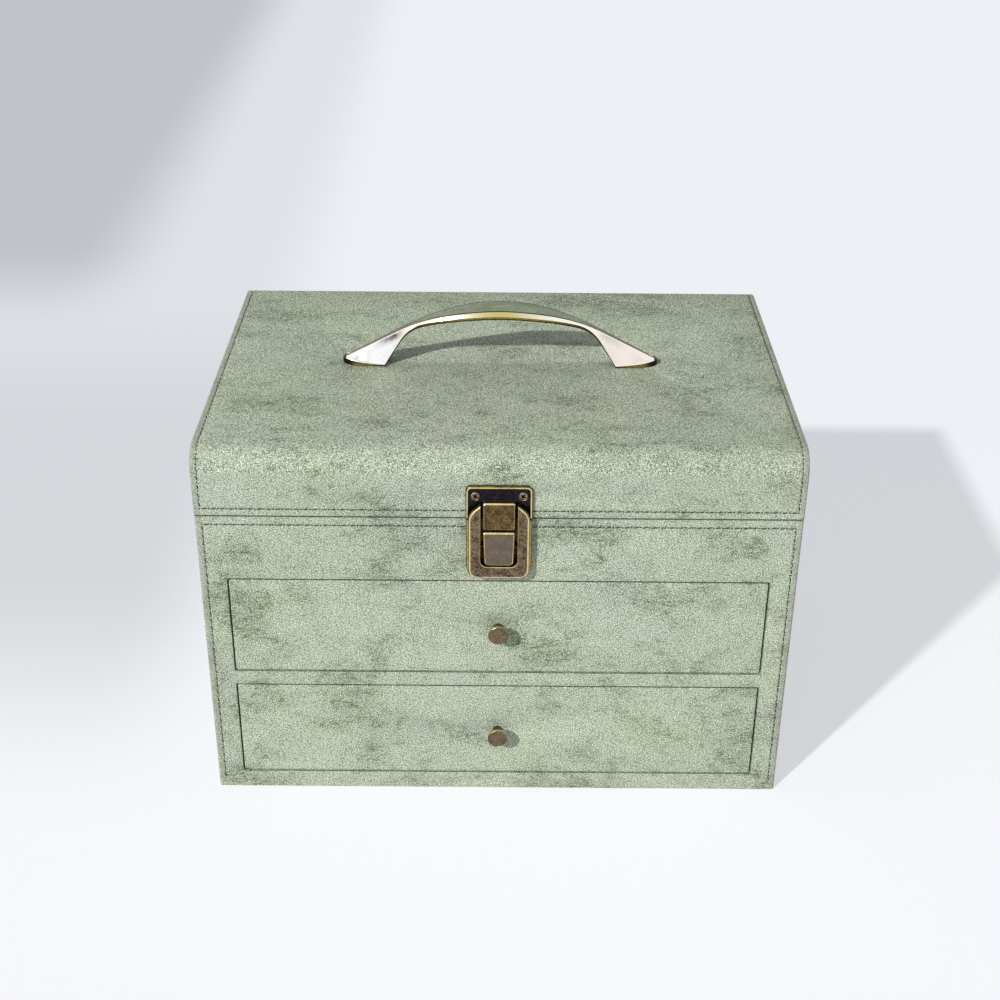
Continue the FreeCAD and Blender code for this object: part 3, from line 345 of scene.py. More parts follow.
def facet_brass(name):
    """The broad facets of the feet: rubbed white, with painted shade under the ridge at the
    shoulder and above the bead.
    """
    finish = Finish(name)
    across = finish.axis("X")
    reach = abs(across)
    below = RIDGE_LINE - (finish.axis("Z") + reach * RIDGE_SLOPE)

    def sideways(left, right):
        return across.ramp(-10 * MM, 10 * MM, left, right)

    cloud = finish.noise(2.4 * MM, detail=2.0, roughness=0.6)
    # painted shade under the ridge at the shoulder and just above the bead, stronger on the left
    # foot, broken up by cloud
    shoulder = reach.ramp(57 * MM, 46 * MM) * reach.ramp(41 * MM, 46 * MM)
    shoulder = shoulder * below.ramp(4.6 * MM, 1.2 * MM) * sideways(0.95, 0.3)
    low = reach.ramp(55 * MM, 60 * MM) * below.ramp(1.2 * MM, 2.6 * MM) * sideways(0.4, 0.1)
    facet_shade = (shoulder + low) * cloud.ramp(0.3, 0.6, 0.6, 1.0)
    white = finish.mix(sideways(0.0, 1.0), (255, 253, 250), (250, 238, 228))
    white = finish.mix(reach.ramp(40 * MM, 50 * MM), (255, 248, 226), white)
    return handle_finish(finish, finish.mix(facet_shade, white, (92, 78, 84)), 0.16)


def edge_patina_and_shade(name):
    """The upright edge: speckled olive brown under the bow and at mid foot, with painted shade that
    turns it almost black at the tips.
    """
    finish = Finish(name)
    reach = abs(finish.axis("X"))
    speck = finish.noise(0.6 * MM, detail=3.0, roughness=0.65)
    specks = speck.ramp(0.35, 0.65)
    olive = finish.mix(specks, (122, 108, 60), (170, 158, 100))
    black = finish.mix(specks, (26, 22, 12), (60, 50, 34))
    bow = finish.mix(reach.ramp(14 * MM, 40 * MM), olive, (84, 70, 44))
    # painted shade: the edge turns almost black at the tips
    foot = finish.mix(reach.ramp(62 * MM, 66 * MM), olive, black)
    olives = finish.mix(reach.ramp(52 * MM, 54 * MM), bow, foot)
    rough = speck.ramp(0.3, 0.7, 0.3, 0.45)
    return finish.surface(speck * (0.01 * MM), Base_Color=olives, Metallic=0.9, Roughness=rough)


def ridge_patina(name):
    """The flat top of the handle: dull green over the grip, brown along its ends and its edges."""
    finish = Finish(name)
    reach = abs(finish.axis("X"))
    speck = finish.noise(0.5 * MM, detail=3.0, roughness=0.65)
    cloud = finish.noise(5 * MM, detail=3.0, roughness=0.6, place=finish.stretched((0.5, 1, 1)))
    specks = speck.ramp(0.35, 0.65)
    green = finish.mix(specks, (84, 92, 68), (160, 168, 140))
    green = finish.mix(cloud.ramp(0.42, 0.62) * 0.6, green, (88, 106, 66))
    brown = finish.mix(specks, (88, 80, 70), (126, 118, 104))
    colour = finish.mix(reach.ramp(34 * MM, 39 * MM), green, brown)
    rough = speck.ramp(0.3, 0.7, 0.4, 0.55)
    return finish.surface(speck * (0.01 * MM), Base_Color=colour, Metallic=0.55, Roughness=rough)


# Inside

def velvet(name, light, dark):
    """Short-pile velvet, brushed in slightly different directions."""
    finish = Finish(name)
    brushed = finish.noise(14 * MM, detail=3.0, roughness=0.6, distortion=0.8)
    pile = finish.noise(0.5 * MM, detail=2.0)
    return finish.surface(
        pile * (0.12 * MM) + brushed * (0.3 * MM),
        Base_Color=finish.mix((brushed * 0.7 + pile * 0.3).ramp(0.35, 0.68), light, dark),
        Roughness=0.92,
        Sheen_Weight=0.35,
        Sheen_Roughness=0.4,
        Specular_IOR_Level=0.2,
    )


def fibreboard(name):
    """Raw pressed board with its short fibres."""
    finish = Finish(name)
    fibres = finish.noise(0.7 * MM, detail=3.0, place=finish.stretched((0.4, 1, 1)))
    cloud = finish.noise(9 * MM, detail=2.0)
    tone = (fibres * 0.6 + cloud * 0.4).ramp(0.35, 0.65)
    colour = finish.mix(tone, (206, 178, 142), (164, 132, 96))
    return finish.surface(fibres * (0.06 * MM), Base_Color=colour, Roughness=0.85)


def mirror_glass(name):
    """Silvered glass with a breath of haze."""
    finish = Finish(name)
    rough = finish.noise(30 * MM, detail=1.0).ramp(0.4, 0.7, 0.02, 0.05)
    silver = (0.9, 0.93, 0.93, 1.0)
    return finish.close(finish.shader(Base_Color=silver, Metallic=1.0, Roughness=rough))


def thread(name, dark, light):
    """Waxed sewing thread, twisted."""
    finish = Finish(name)
    twist = finish.noise(0.5 * MM, detail=2.0)
    colour = finish.mix(twist, dark, light)
    return finish.surface(twist * (0.08 * MM), Base_Color=colour, Roughness=0.6)


# The finishes

def drawer_frame(drawer):
    """Half width, foot and head of a drawer's covered front."""
    low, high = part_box(drawer + "_front_cover")
    return high.x, low.z, high.z


def drawer_gap_shade(drawer):
    """Painted shade along the gap round a drawer's front."""
    return lambda finish: frame_distance(finish, *drawer_frame(drawer)).ramp(-0.24 * MM, -0.06 * MM)


def seam_shade(finish):
    """Painted shade in the seam between lid and case."""
    return abs(finish.axis("Z") - seam).ramp(0.28 * MM, 0.42 * MM, 1.0, 0.0)


def case_gap_shade(finish):
    """Painted shade in the seam under the lid and in the gaps round the two drawers."""
    lines = seam_shade(finish)
    for drawer in DRAWERS:
        outside = frame_distance(finish, *drawer_frame(drawer))
        lines = lines.highest(abs(outside - 0.35 * MM).ramp(0.22 * MM, 0.36 * MM, 1.0, 0.0))
    return lines * finish.axis("Y").ramp(front_face + 0.3 * MM, front_face + 0.5 * MM, 1.0, 0.0)


case_grooves = (CASE_COLUMN, CASE_ROW, 4 * MM)
lid_grooves = (LID_COLUMN, LID_ROW, LID_ROW - MM)
case_leather = leatherette("case_leatherette", case_grooves, case_gap_shade)
lid_leather = leatherette("lid_leatherette", lid_grooves, seam_shade, 0.9)
drawer_leathers = []
for drawer in DRAWERS:
    drawer_leathers.append(leatherette(drawer + "_leatherette", gap_shade=drawer_gap_shade(drawer)))
plain_leather = leatherette("plain_leatherette")
latch_dark = antique_brass("latch_brass_dark", (146, 127, 104), (64, 50, 38))
latch_tongue = antique_brass("latch_tongue_brass", (148, 126, 76), (62, 46, 36), 0.52)
latch_satin = antique_brass("latch_satin_brass", (128, 116, 98), (100, 88, 78), 0.5, 0.36)
# rubbed brass that also carries painted highlights on rounded crests, rims and slanting faces
rubbed_brass_highlight = antique_brass(
    "latch_brass_rubbed", (230, 212, 158), (160, 138, 88), 0.42, 0.26
)
latch_gold = antique_brass("latch_brass_gold", (186, 168, 104), (110, 94, 48), 0.45, 0.3)
latch_olive = antique_brass("latch_brass_olive", (124, 112, 56), (58, 50, 26))
screw_brass = antique_brass("latch_screw_brass", (176, 156, 142), (120, 100, 90))
# painted shade for the screws' cross recesses and the latch pin
recess_dark = antique_brass("recess_dark", (40, 32, 26), (16, 13, 11), 0.5, 0.5)
latch_plate_dark = antique_brass("latch_plate_dark", (48, 46, 50), (22, 22, 30), 0.5, 0.2)
handle_brass = bow_brass("handle_brass")
handle_facet = facet_brass("handle_facet")
handle_shade = edge_patina_and_shade("handle_shade")
# painted shade for the handle's sole, end faces and tips, and the rounded edges of the grip's top
handle_dark = antique_brass("handle_dark", (64, 52, 34), (30, 24, 16), 0.5, 0.35)
grip_patina = ridge_patina("grip_patina")
knob_bronze = antique_brass("knob_bronze", (134, 120, 97), (94, 79, 62), 0.5, 0.3)
hinge_brass = antique_brass("hinge_brass", (176, 156, 112), (104, 88, 62))
screw_steel = plain_metal("screw_steel", (190, 190, 188))
spring_steel = plain_metal("spring_steel", (170, 172, 176), 0.22)
lining_velvet = velvet("lining_velvet", (228, 220, 200), (204, 192, 168))
board_raw = fibreboard("board_raw")
mirror_silver = mirror_glass("mirror_silver")
stitch_thread = thread("stitch_thread", (14, 34, 20), (36, 66, 42))
# dark discs of painted shade in the needle holes
needle_hole = thread("needle_hole", (10, 18, 10), (24, 34, 22))
STITCH_FINISHES = [stitch_thread, needle_hole]

SLOT_FINISHES = {
    "green_leatherette": plain_leather,
    "board": board_raw,
    "velvet": lining_velvet,
    "hinge_brass": hinge_brass,
    "latch_brass": latch_dark,
    "steel": screw_steel,
    "spring_steel": spring_steel,
    "mirror_glass": mirror_silver,
    "handle_brass": handle_brass,
    "knob_bronze": knob_bronze,
}


def slot_of(node):
    """The record's material slot of a node."""
    parts = frame["record"]["subparts"]
    return next(part["material_slot"] for part in parts if part["node"] == node)


def body_of(node):
    """The body that a node rides on."""
    return nodes[node].parent.name.removeprefix("body:")


def dress_nodes():
    """Gives each carried-over node the finish of its slot."""
    for name, piece in nodes.items():
        piece.data.materials.clear()
        piece.data.materials.append(SLOT_FINISHES[slot_of(name)])
    for name in ("case_wrap", "front_wrap"):
        nodes[name].data.materials[0] = case_leather
    for name in ("lid_wrap", "lid_side_covers"):
        nodes[name].data.materials[0] = lid_leather


# Mesh helpers

MERGE = 0.002 * MM
CREASE_ANGLE = math.radians(28)


def as_data(name, mesh):
    """A bmesh as mesh data; the bmesh goes."""
    data = bpy.data.meshes.new(name)
    mesh.to_mesh(data)
    mesh.free()
    return data


def add_object(name, data):
    made = bpy.data.objects.new(name, data)
    bpy.context.scene.collection.objects.link(made)
    return made


def finished(name, mesh, body, slot, materials, smooth_angle):
    """Turns a bmesh into a piece that rides on a body."""
    data = as_data(name, mesh)
    for material in materials:
        data.materials.append(material)
    data.polygons.foreach_set("use_smooth", [True] * len(data.polygons))
    data.set_sharp_from_angle(angle=math.radians(smooth_angle))
    piece = add_object(name, data)
    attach(piece, body)
    return piece


def stand_in(node, name, mesh, materials, smooth_angle):
    """Turns a bmesh into a piece that replaces a node, on its body."""
    piece = finished(name, mesh, body_of(node), slot_of(node), materials, smooth_angle)
    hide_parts(node)
    return piece


def merged_copy(node):
    """A node's mesh with its loose triangles joined into whole faces."""
    mesh = bmesh.new()
    mesh.from_mesh(nodes[node].data)
    bmesh.ops.remove_doubles(mesh, verts=mesh.verts, dist=MERGE)
    bmesh.ops.dissolve_limit(
        mesh, angle_limit=math.radians(1), verts=mesh.verts, edges=mesh.edges
    )
    return mesh


def add_mesh(mesh, other):
    """Moves another bmesh's faces into a mesh."""
    added = as_data("part", other)
    mesh.from_mesh(added)
    bpy.data.meshes.remove(added)


def extruded(mesh, edges):
    """Extrudes edges and returns the new edges and points."""
    grown = bmesh.ops.extrude_edge_only(mesh, edges=edges)["geom"]
    points = [item for item in grown if isinstance(item, bmesh.types.BMVert)]
    return [item for item in grown if isinstance(item, bmesh.types.BMEdge)], points


def round_over(mesh, edges, width, segments=2, material=-1, clamp=False):
    """Rounds edges, with a material of their own on the rounded faces."""
    bmesh.ops.bevel(
        mesh,
        geom=edges,
        offset=width,
        offset_type="OFFSET",
        segments=segments,
        profile=0.5,
        affect="EDGES",
        clamp_overlap=clamp,
        material=material,
    )


def softened(node, name, materials, width, segments=2, rim=-1, choose=None):
    """Replaces a node with its own shape, its sharp edges rounded, and rim on the rounded faces."""
    mesh = merged_copy(node)
    for face in mesh.faces:
        face.material_index = choose(face) if choose else 0
    sharp = []
    for edge in mesh.edges:
        if edge.is_manifold and edge.calc_face_angle() > CREASE_ANGLE:
            sharp.append(edge)
    round_over(mesh, sharp, width, segments, rim, clamp=True)
    stand_in(node, name, mesh, materials, 40)


# Stitches

THREAD_RADIUS = 0.25 * MM
THREAD_LIFT = 0.25
STITCH_PITCH = 3.65 * MM
STITCH_LENGTH = 2.4 * MM
STITCH_TILT = math.radians(9)
HOLE_HALF = 0.42 * MM
LATCH_HALF = 12.8 * MM
LID_FRONT_RADIUS = 10 * MM
LID_BACK_RADIUS = 2.5 * MM
ARC_STEPS = 4


def stitch_line(mesh, start, end, out, wander):
    """A straight run of stitches on the face whose outward direction is out, each with a flat dark
    disc of painted shade at its needle hole.
    """
    run = end - start
    count = max(round(run.length / STITCH_PITCH), 1)
    along = run.normalized()
    side = out.cross(along)
    lift = out * (THREAD_RADIUS * THREAD_LIFT)
    turned_up = Matrix.Rotation(math.pi / 2, 4, "Y")
    flat = Matrix.Diagonal((HOLE_HALF, HOLE_HALF * 0.8, HOLE_HALF * 0.3, 1.0))
    for index in range(count):
        middle = start + run * ((index + 0.5) / count)
        lean = Matrix.Rotation(STITCH_TILT + wander.uniform(-0.06, 0.06), 3, out)
        length = STITCH_LENGTH * wander.uniform(0.92, 1.06)
        turn = Matrix((lean @ along, lean @ side, out)).transposed().to_4x4()
        size = Matrix.Diagonal((length / 2, THREAD_RADIUS, THREAD_RADIUS, 1.0))
        place = Matrix.Translation(middle + lift + side * wander.uniform(-0.05, 0.05) * MM)
        bmesh.ops.create_uvsphere(
            mesh, u_segments=8, v_segments=6, radius=1.0, matrix=place @ turn @ size @ turned_up
        )
        # a flat dark disc of painted shade in the needle hole
        hole = Matrix.Translation(start + run * (index / count))
        made = bmesh.ops.create_uvsphere(
            mesh, u_segments=8, v_segments=4, radius=1.0, matrix=hole @ turn @ flat
        )
        for face in {face for vert in made["verts"] for face in vert.link_faces}:
            face.material_index = 1


def stitch_arc(mesh, centre, radius, across, wander):
    """Stitches over the rounded front edge of the lid."""
    points = []
    for index in range(ARC_STEPS + 1):
        angle = math.pi - math.pi / 2 * index / ARC_STEPS
        forward = centre.y + radius * math.cos(angle)
        points.append(Vector((across, forward, centre.z + radius * math.sin(angle))))
    for first, second in zip(points, points[1:]):
        middle = (first + second) / 2
        out = Vector((0, middle.y - centre.y, middle.z - centre.z)).normalized()
        stitch_line(mesh, first, second, out, wander)


def front_row(mesh, column, front, height, wander):
    """The row along the front, left and right of the latch, which hides its middle."""
    for side in (-1, 1):
        start = Vector((side * column, front, height))
        stitch_line(mesh, start, Vector((side * LATCH_HALF, front, height)), FORWARD, wander)


def lid_stitches():
    """The row at the lid's foot, and a column up each side and over the top."""
    mesh = bmesh.new()
    wander = random.Random(11)
    front = lid_low.y
    top = lid_high.z
    front_row(mesh, LID_COLUMN, front, LID_ROW, wander)
    centre = Vector((0, front + LID_FRONT_RADIUS, top - LID_FRONT_RADIUS))
    for across in (-LID_COLUMN, LID_COLUMN):
        foot = Vector((across, front, LID_ROW))
        stitch_line(mesh, foot, Vector((across, front, centre.z)), FORWARD, wander)
        stitch_arc(mesh, centre, LID_FRONT_RADIUS, across, wander)
        end = Vector((across, lid_high.y - LID_BACK_RADIUS, top))
        stitch_line(mesh, Vector((across, centre.y, top)), end, UPWARD, wander)
    finished("lid_stitches", mesh, "lid", "green_leatherette", STITCH_FINISHES, 35)


def case_stitches():
    """The row under the seam, and a column down each side of the front."""
    mesh = bmesh.new()
    wander = random.Random(12)
    front_row(mesh, CASE_COLUMN, front_face, CASE_ROW, wander)
    for across in (-CASE_COLUMN, CASE_COLUMN):
        foot = Vector((across, front_face, front_low.z + 2 * MM))
        stitch_line(mesh, foot, Vector((across, front_face, CASE_ROW)), FORWARD, wander)
    finished("case_stitches", mesh, "case", "green_leatherette", STITCH_FINISHES, 35)


# Handle, in millimetres over the middle of the lid's top

HANDLE_HEIGHT = 26.3
HANDLE_TIP = 69.0
HANDLE_SET_BACK = 1.5
ARCH_RADIUS = 95.0
ARCH_HALF = 45.0
BAR_THICKNESS = 3.4
UNDER_RADIUS = 115.0
SHOULDER_START = 33.5
SHOULDER_RADIUS = 18.0
FOOT_SLOPE = math.radians(56)
GRIP_HALF = 6.3
GRIP_START = 8.0
GRIP_END = 43.0
RIDGE_HALF = 2.1
RIDGE_TIP_HALF = 0.9
EDGE_BEVEL = 0.9
BAR_EDGE = 1.4
FOOT_HALF = 5.4
FOOT_RIM = 0.9
TIP_RIM = 2.9
FACET_TIP = 67.5
FOOT_ROUND = 59.0
RIDGE_SHARE = 0.5
BEAD = 0.42
BEAD_START = 44.0
BEAD_RUN = 8.0
GROOVE = 0.5
GROOVE_DEPTH = 0.22
GRIP_LINE = 0.4
TIP_GAP = 0.25
BOW_STATIONS = 28
FOOT_STATIONS = 12
BRASS, FACET, SHADE, PAINTED_SHADE, PATINA = range(5)
# the two lowest rows, at the sole, take painted shade
HANDLE_ROWS = (PAINTED_SHADE, PAINTED_SHADE, SHADE, BRASS, BRASS, FACET, FACET, FACET, BRASS, PATINA, PATINA, PATINA)
FOOT_SHADE_START = 55
FACET_START = 40
GRIP_SHADE_END = 36


def ease(low, high, share):
    """Runs smoothly from low to high while share runs from 0 to 1."""
    share = min(max(share, 0.0), 1.0)
    return low + (high - low) * share * share * (3 - 2 * share)


def arch_drop(x, radius):
    """How far an arch has dropped at a distance x from its middle."""
    return radius - math.sqrt(radius ** 2 - x ** 2)


def handle_top(x):
    """Height of the bow's top line at a distance x from its middle."""
    if x <= ARCH_HALF:
        return HANDLE_HEIGHT - arch_drop(x, ARCH_RADIUS)
    slope = ARCH_HALF / math.sqrt(ARCH_RADIUS ** 2 - ARCH_HALF ** 2)
    return HANDLE_HEIGHT - arch_drop(ARCH_HALF, ARCH_RADIUS) - slope * (x - ARCH_HALF)


SHOULDER_TURN = math.asin(SHOULDER_START / UNDER_RADIUS)
SHOULDER_END = SHOULDER_START + SHOULDER_RADIUS * (math.sin(FOOT_SLOPE) - math.sin(SHOULDER_TURN))
SHOULDER_HEIGHT = HANDLE_HEIGHT - BAR_THICKNESS - arch_drop(SHOULDER_START, UNDER_RADIUS)
SHOULDER_LOW = SHOULDER_HEIGHT - SHOULDER_RADIUS * (math.cos(SHOULDER_TURN) - math.cos(FOOT_SLOPE))
FOOT_START = SHOULDER_END + SHOULDER_LOW / math.tan(FOOT_SLOPE)


def handle_under(x):
    """Height of the bow's lower line, down to the foot."""
    if x <= SHOULDER_START:
        return HANDLE_HEIGHT - BAR_THICKNESS - arch_drop(x, UNDER_RADIUS)
    if x >= SHOULDER_END:
        return max(SHOULDER_LOW - (x - SHOULDER_END) * math.tan(FOOT_SLOPE), 0.0)
    angle = math.asin(math.sin(SHOULDER_TURN) + (x - SHOULDER_START) / SHOULDER_RADIUS)
    return SHOULDER_HEIGHT - SHOULDER_RADIUS * (math.cos(SHOULDER_TURN) - math.cos(angle))


def ridge_half(x):
    """Half width of the flat top: broad over the grip, a narrow ridge over the feet."""
    if x < GRIP_END:
        return ease(GRIP_HALF, RIDGE_HALF, (x - GRIP_START) / (GRIP_END - GRIP_START))
    return RIDGE_HALF - (RIDGE_HALF - RIDGE_TIP_HALF) * (x - GRIP_END) / (HANDLE_TIP - GRIP_END)


def foot_edge_half(x):
    """Half width of the foot's outline, which rounds off at the tip."""
    share = max(x - FOOT_ROUND, 0.0) / (HANDLE_TIP - FOOT_ROUND)
    return FOOT_HALF * math.sqrt(max(1 - share * share, 0.0))


def rim_height(x):
    """Height of the flank's lower border: along the bow's edge, then rising to the foot's tip."""
    if x < FOOT_START:
        share = (x - SHOULDER_START) / (FOOT_START - SHOULDER_START)
        return handle_under(x) + ease(BAR_EDGE, FOOT_RIM, share)
    share = min((x - FOOT_START) / (FACET_TIP - FOOT_START), 1.0)
    return min(FOOT_RIM + (TIP_RIM - FOOT_RIM) * share ** 1.3, handle_top(x) * 0.94)


def handle_section(x):
    """Half of a section: across and height of its corners, from the sole up to the ridge."""
    reach = abs(x)
    low = handle_under(reach)
    high = handle_top(reach)
    rim = rim_height(reach)
    ridge = ridge_half(reach)
    if reach > FOOT_ROUND:
        ridge = min(ridge, foot_edge_half(reach) * RIDGE_SHARE)
    edge = foot_edge_half(reach)
    if reach < FOOT_START:
        flank = (high - rim) / (high - FOOT_RIM)
        edge = ridge + max((FOOT_HALF - ridge) * flank, EDGE_BEVEL)
    room = (edge - ridge) / 3
    relief = ease(0.0, 1.0, (reach - BEAD_START) / BEAD_RUN)
    bead = min(BEAD * relief + 0.05, room)
    groove_width = min(GROOVE * relief + 0.04, room)
    depth = GROOVE_DEPTH * relief * min((high - rim) / FOOT_RIM, 1.0)
    rounding = min(0.6, ridge * 0.5, (high - rim) * 0.4)
    foot_curve = min(0.2, (rim - low) * 0.3)
    return [
        (edge - foot_curve, low),
        (edge, low + foot_curve),
        (edge, low + (rim - low) * 0.4),
        (edge, rim - bead * 0.4),
        (edge - bead * 0.3, rim),
        (edge - bead, rim + bead * 0.2),
        (edge - bead - groove_width * 0.5, rim - depth),
        (edge - bead - groove_width, rim + bead * 0.2),
        (ridge + rounding * 0.4, high - rounding * 0.75),
        (ridge - rounding * 0.2, high - rounding * 0.2),
        (ridge - rounding, high),
        (ridge - rounding - min(GRIP_LINE, ridge * 0.2), high),
    ]


def handle_stations():
    """Distances along the handle, closer together towards its tips."""
    half = [FOOT_START * index / BOW_STATIONS for index in range(BOW_STATIONS)]
    foot_run = HANDLE_TIP - TIP_GAP - FOOT_START
    for index in range(FOOT_STATIONS + 1):
        half.append(FOOT_START + foot_run * math.sin(math.pi / 2 * index / FOOT_STATIONS))
    return [-x for x in reversed(half[1:])] + half


def handle_tone(row, reach):
    """The finish of a row of faces, counted from the sole, at a distance from the middle."""
    if row == 1 and reach > FOOT_SHADE_START:
        return SHADE
    if row == 7 and reach < FACET_START:
        return BRASS
    # painted shade on the rounded edges of the grip's top, which slope away from the light
    if row in (9, 10) and reach < GRIP_SHADE_END:
        return PAINTED_SHADE
    return HANDLE_ROWS[row]


def make_handle():
    """The bow handle: one loft with a bead and a groove round each foot."""
    mesh = bmesh.new()
    foot = lid_high.z / MM

    def corners(x):
        side = handle_section(x)
        outline = side + [(-across, height) for across, height in reversed(side)]
        return [Vector((x, HANDLE_SET_BACK + across, foot + up)) * MM for across, up in outline]

    corner_mark = mesh.verts.layers.int.new("corner")
    stations = handle_stations()
    ring = [mesh.verts.new(corner) for corner in corners(stations[0])]
    count = len(ring)
    for index, vert in enumerate(ring):
        vert[corner_mark] = index
    loop = [mesh.edges.new(pair) for pair in zip(ring, ring[1:] + ring[:1])]
    bmesh.ops.contextual_create(mesh, geom=loop)
    for x in stations[1:]:
        loop, fresh = extruded(mesh, loop)
        for index, (vert, corner) in enumerate(zip(fresh, corners(x))):
            vert.co = corner
            vert[corner_mark] = index
    bmesh.ops.contextual_create(mesh, geom=loop)
    bmesh.ops.recalc_face_normals(mesh, faces=mesh.faces)
    for face in mesh.faces:
        marks = sorted({vert[corner_mark] for vert in face.verts})
        reach = abs(face.calc_center_median().x) / MM
        # painted shade on the end faces, the sole and past the facets' tips
        if len(face.verts) > 4 or marks == [0, count - 1] or FACET_TIP < reach:
            face.material_index = PAINTED_SHADE
        else:
            face.material_index = handle_tone(min(marks[0], count - 1 - marks[1]), reach)
    finishes = [handle_brass, handle_facet, handle_shade, handle_dark, grip_patina]
    stand_in("handle", "bow_handle", mesh, finishes, 12)


# Latch, in millimetres on the front face

BEZEL_HALF = 12.35
BEZEL_FOOT = 111.575
BEZEL_TOP = 145.5
BEZEL_HEAD_DROP = 4.3
BEZEL_ROUND = 0.9 * MM
BEZEL_FRONT = 89.9
ARM_BACK = 87.4
FLANGE_HALF = 13.2
FLANGE_FOOT = 110.475
FLANGE_TOP = 137.275
FLANGE_FRONT = 86.7
CASE_FRONT = 85.5
RECESS_HALF = 7.5
RECESS_FOOT = 117.0
RECESS_CORNER = 2.8
EDGE_ROUND = 0.25 * MM
SUNK = 1.4 * MM
TONGUE_FRONT = 2.2 * MM


def fork(half, foot, foot_corner, head, back, front):
    """A fork-shaped prism between two depths, and its front; corners are (across, up, rounding)."""
    corners = [(half, foot, foot_corner)] + head + [(RECESS_HALF, RECESS_FOOT, RECESS_CORNER)]
    corners += [(-across, up, rounding) for across, up, rounding in reversed(corners)]
    mesh = bmesh.new()
    verts = [mesh.verts.new(Vector((across, -back, up)) * MM) for across, up, rounding in corners]
    mesh.faces.new(verts)
    for vert, (across, up, rounding) in zip(verts, corners):
        if rounding:
            settings = {"segments": 6, "profile": 0.5, "affect": "VERTICES", "material": -1}
            bmesh.ops.bevel(mesh, geom=[vert], offset=rounding * MM, **settings)
    base = mesh.faces[:]
    grown = bmesh.ops.extrude_face_region(mesh, geom=base, use_keep_orig=True)["geom"]
    moved = [item for item in grown if isinstance(item, bmesh.types.BMVert)]
    bmesh.ops.translate(mesh, verts=moved, vec=(0, (back - front) * MM, 0))
    return mesh, next(face for face in mesh.faces if all(vert in moved for vert in face.verts))


def bezel_finish(face):
    """Speckled on the flat front, rubbed bright with a painted highlight on the rounded crest,
    olive on the outer sides.
    """
    facing = -face.normal.y
    if facing > 0.992:
        return 0
    return 1 if facing > 0.7 else 2


def rubbed_and_highlit(face):
    """1 on the slanting faces, which rub bright and carry a painted highlight, 0 elsewhere."""
    return 1 if 0.45 < -face.normal.y < 0.93 else 0


def plate_finish(face):
    """Rubbed bright rim with a painted highlight, dark sunk front, olive slopes and a speckled
    tongue on the lid's plate.
    """
    middle = face.calc_center_median()
    if middle.y < front_face - TONGUE_FRONT:
        return rubbed_and_highlit(face) or 3
    if face.normal.y > -0.95:
        return 0
    return 2 if middle.y > front_face - SUNK else 1


def latch_flange():
    head = [(FLANGE_HALF, FLANGE_TOP, 0.4), (RECESS_HALF, FLANGE_TOP, 0.0)]
    mesh, front = fork(FLANGE_HALF, FLANGE_FOOT, 4.6, head, CASE_FRONT, FLANGE_FRONT)
    round_over(mesh, list(front.edges), EDGE_ROUND)
    for face in mesh.faces:
        face.material_index = 3 if abs(face.normal.y) > 0.95 else 2
    return mesh


def latch_riser():
    """The wall that carries the bezel, sunk a little into the flange and the bezel."""
    head = [(BEZEL_HALF, FLANGE_TOP, 0.0), (RECESS_HALF, FLANGE_TOP, 0.0)]
    mesh, front = fork(BEZEL_HALF, BEZEL_FOOT, 4.0, head, FLANGE_FRONT - 0.2, ARM_BACK + 0.2)
    for face in mesh.faces:
        face.material_index = 2
    return mesh


def latch_crest():
    """The bezel's front: rounded on the outside, with a fine bright edge along the slot."""
    head = [(BEZEL_HALF, BEZEL_TOP - BEZEL_HEAD_DROP, 2.6), (RECESS_HALF, BEZEL_TOP, 0.0)]
    mesh, front = fork(BEZEL_HALF, BEZEL_FOOT, 4.0, head, ARM_BACK, BEZEL_FRONT)
    outer = []
    for edge in front.edges:
        middle = (edge.verts[0].co + edge.verts[1].co) / 2 / MM
        if abs(middle.x) >= RECESS_HALF + 0.05 or middle.z <= RECESS_FOOT - 0.1:
            outer.append(edge)
    round_over(mesh, outer, BEZEL_ROUND, 4)
    mesh.normal_update()
    for face in mesh.faces:
        face.material_index = bezel_finish(face)

    def on_slot(vert):
        near = abs(vert.co.x) < (RECESS_HALF + 0.05) * MM
        return near and vert.co.y < -(BEZEL_FRONT - 0.02) * MM

    slot = []
    for edge in mesh.edges:
        if edge.is_manifold and edge.calc_face_angle() > 1.2 and all(map(on_slot, edge.verts)):
            slot.append(edge)
    round_over(mesh, slot, EDGE_ROUND, material=3)
    # the slot's lower edge takes the rubbed brass with its painted highlight
    for face in mesh.faces:
        if face.material_index == 3 and face.calc_center_median().z < (RECESS_FOOT + 2.4) * MM:
            face.material_index = 1
    large = [face for face in mesh.faces if len(face.verts) > 8]
    bmesh.ops.triangulate(mesh, faces=large, quad_method="BEAUTY", ngon_method="EAR_CLIP")
    return mesh


def make_bezel():
    """The latch's lower half: a flange and a bezel whose arms reach over the lid's plate."""
    whole = bmesh.new()
    for part in (latch_flange(), latch_riser(), latch_crest()):
        add_mesh(whole, part)
    bmesh.ops.recalc_face_normals(whole, faces=whole.faces)
    finishes = [latch_dark, rubbed_brass_highlight, latch_olive, latch_gold]
    stand_in("latch_case", "latch_bezel", whole, finishes, 35)


def make_latch():
    make_bezel()
    finishes = [latch_olive, rubbed_brass_highlight, latch_plate_dark, latch_tongue]
    softened("latch_plate", "latch_lid_plate", finishes, 0.1 * MM, choose=plate_finish)
    finishes = [latch_satin, rubbed_brass_highlight]
    softened("latch_lever", "latch_press_tile", finishes, 0.12 * MM, rim=1, choose=rubbed_and_highlit)
    nodes["latch_pin"].data.materials[0] = recess_dark


# Screws with a cross recess

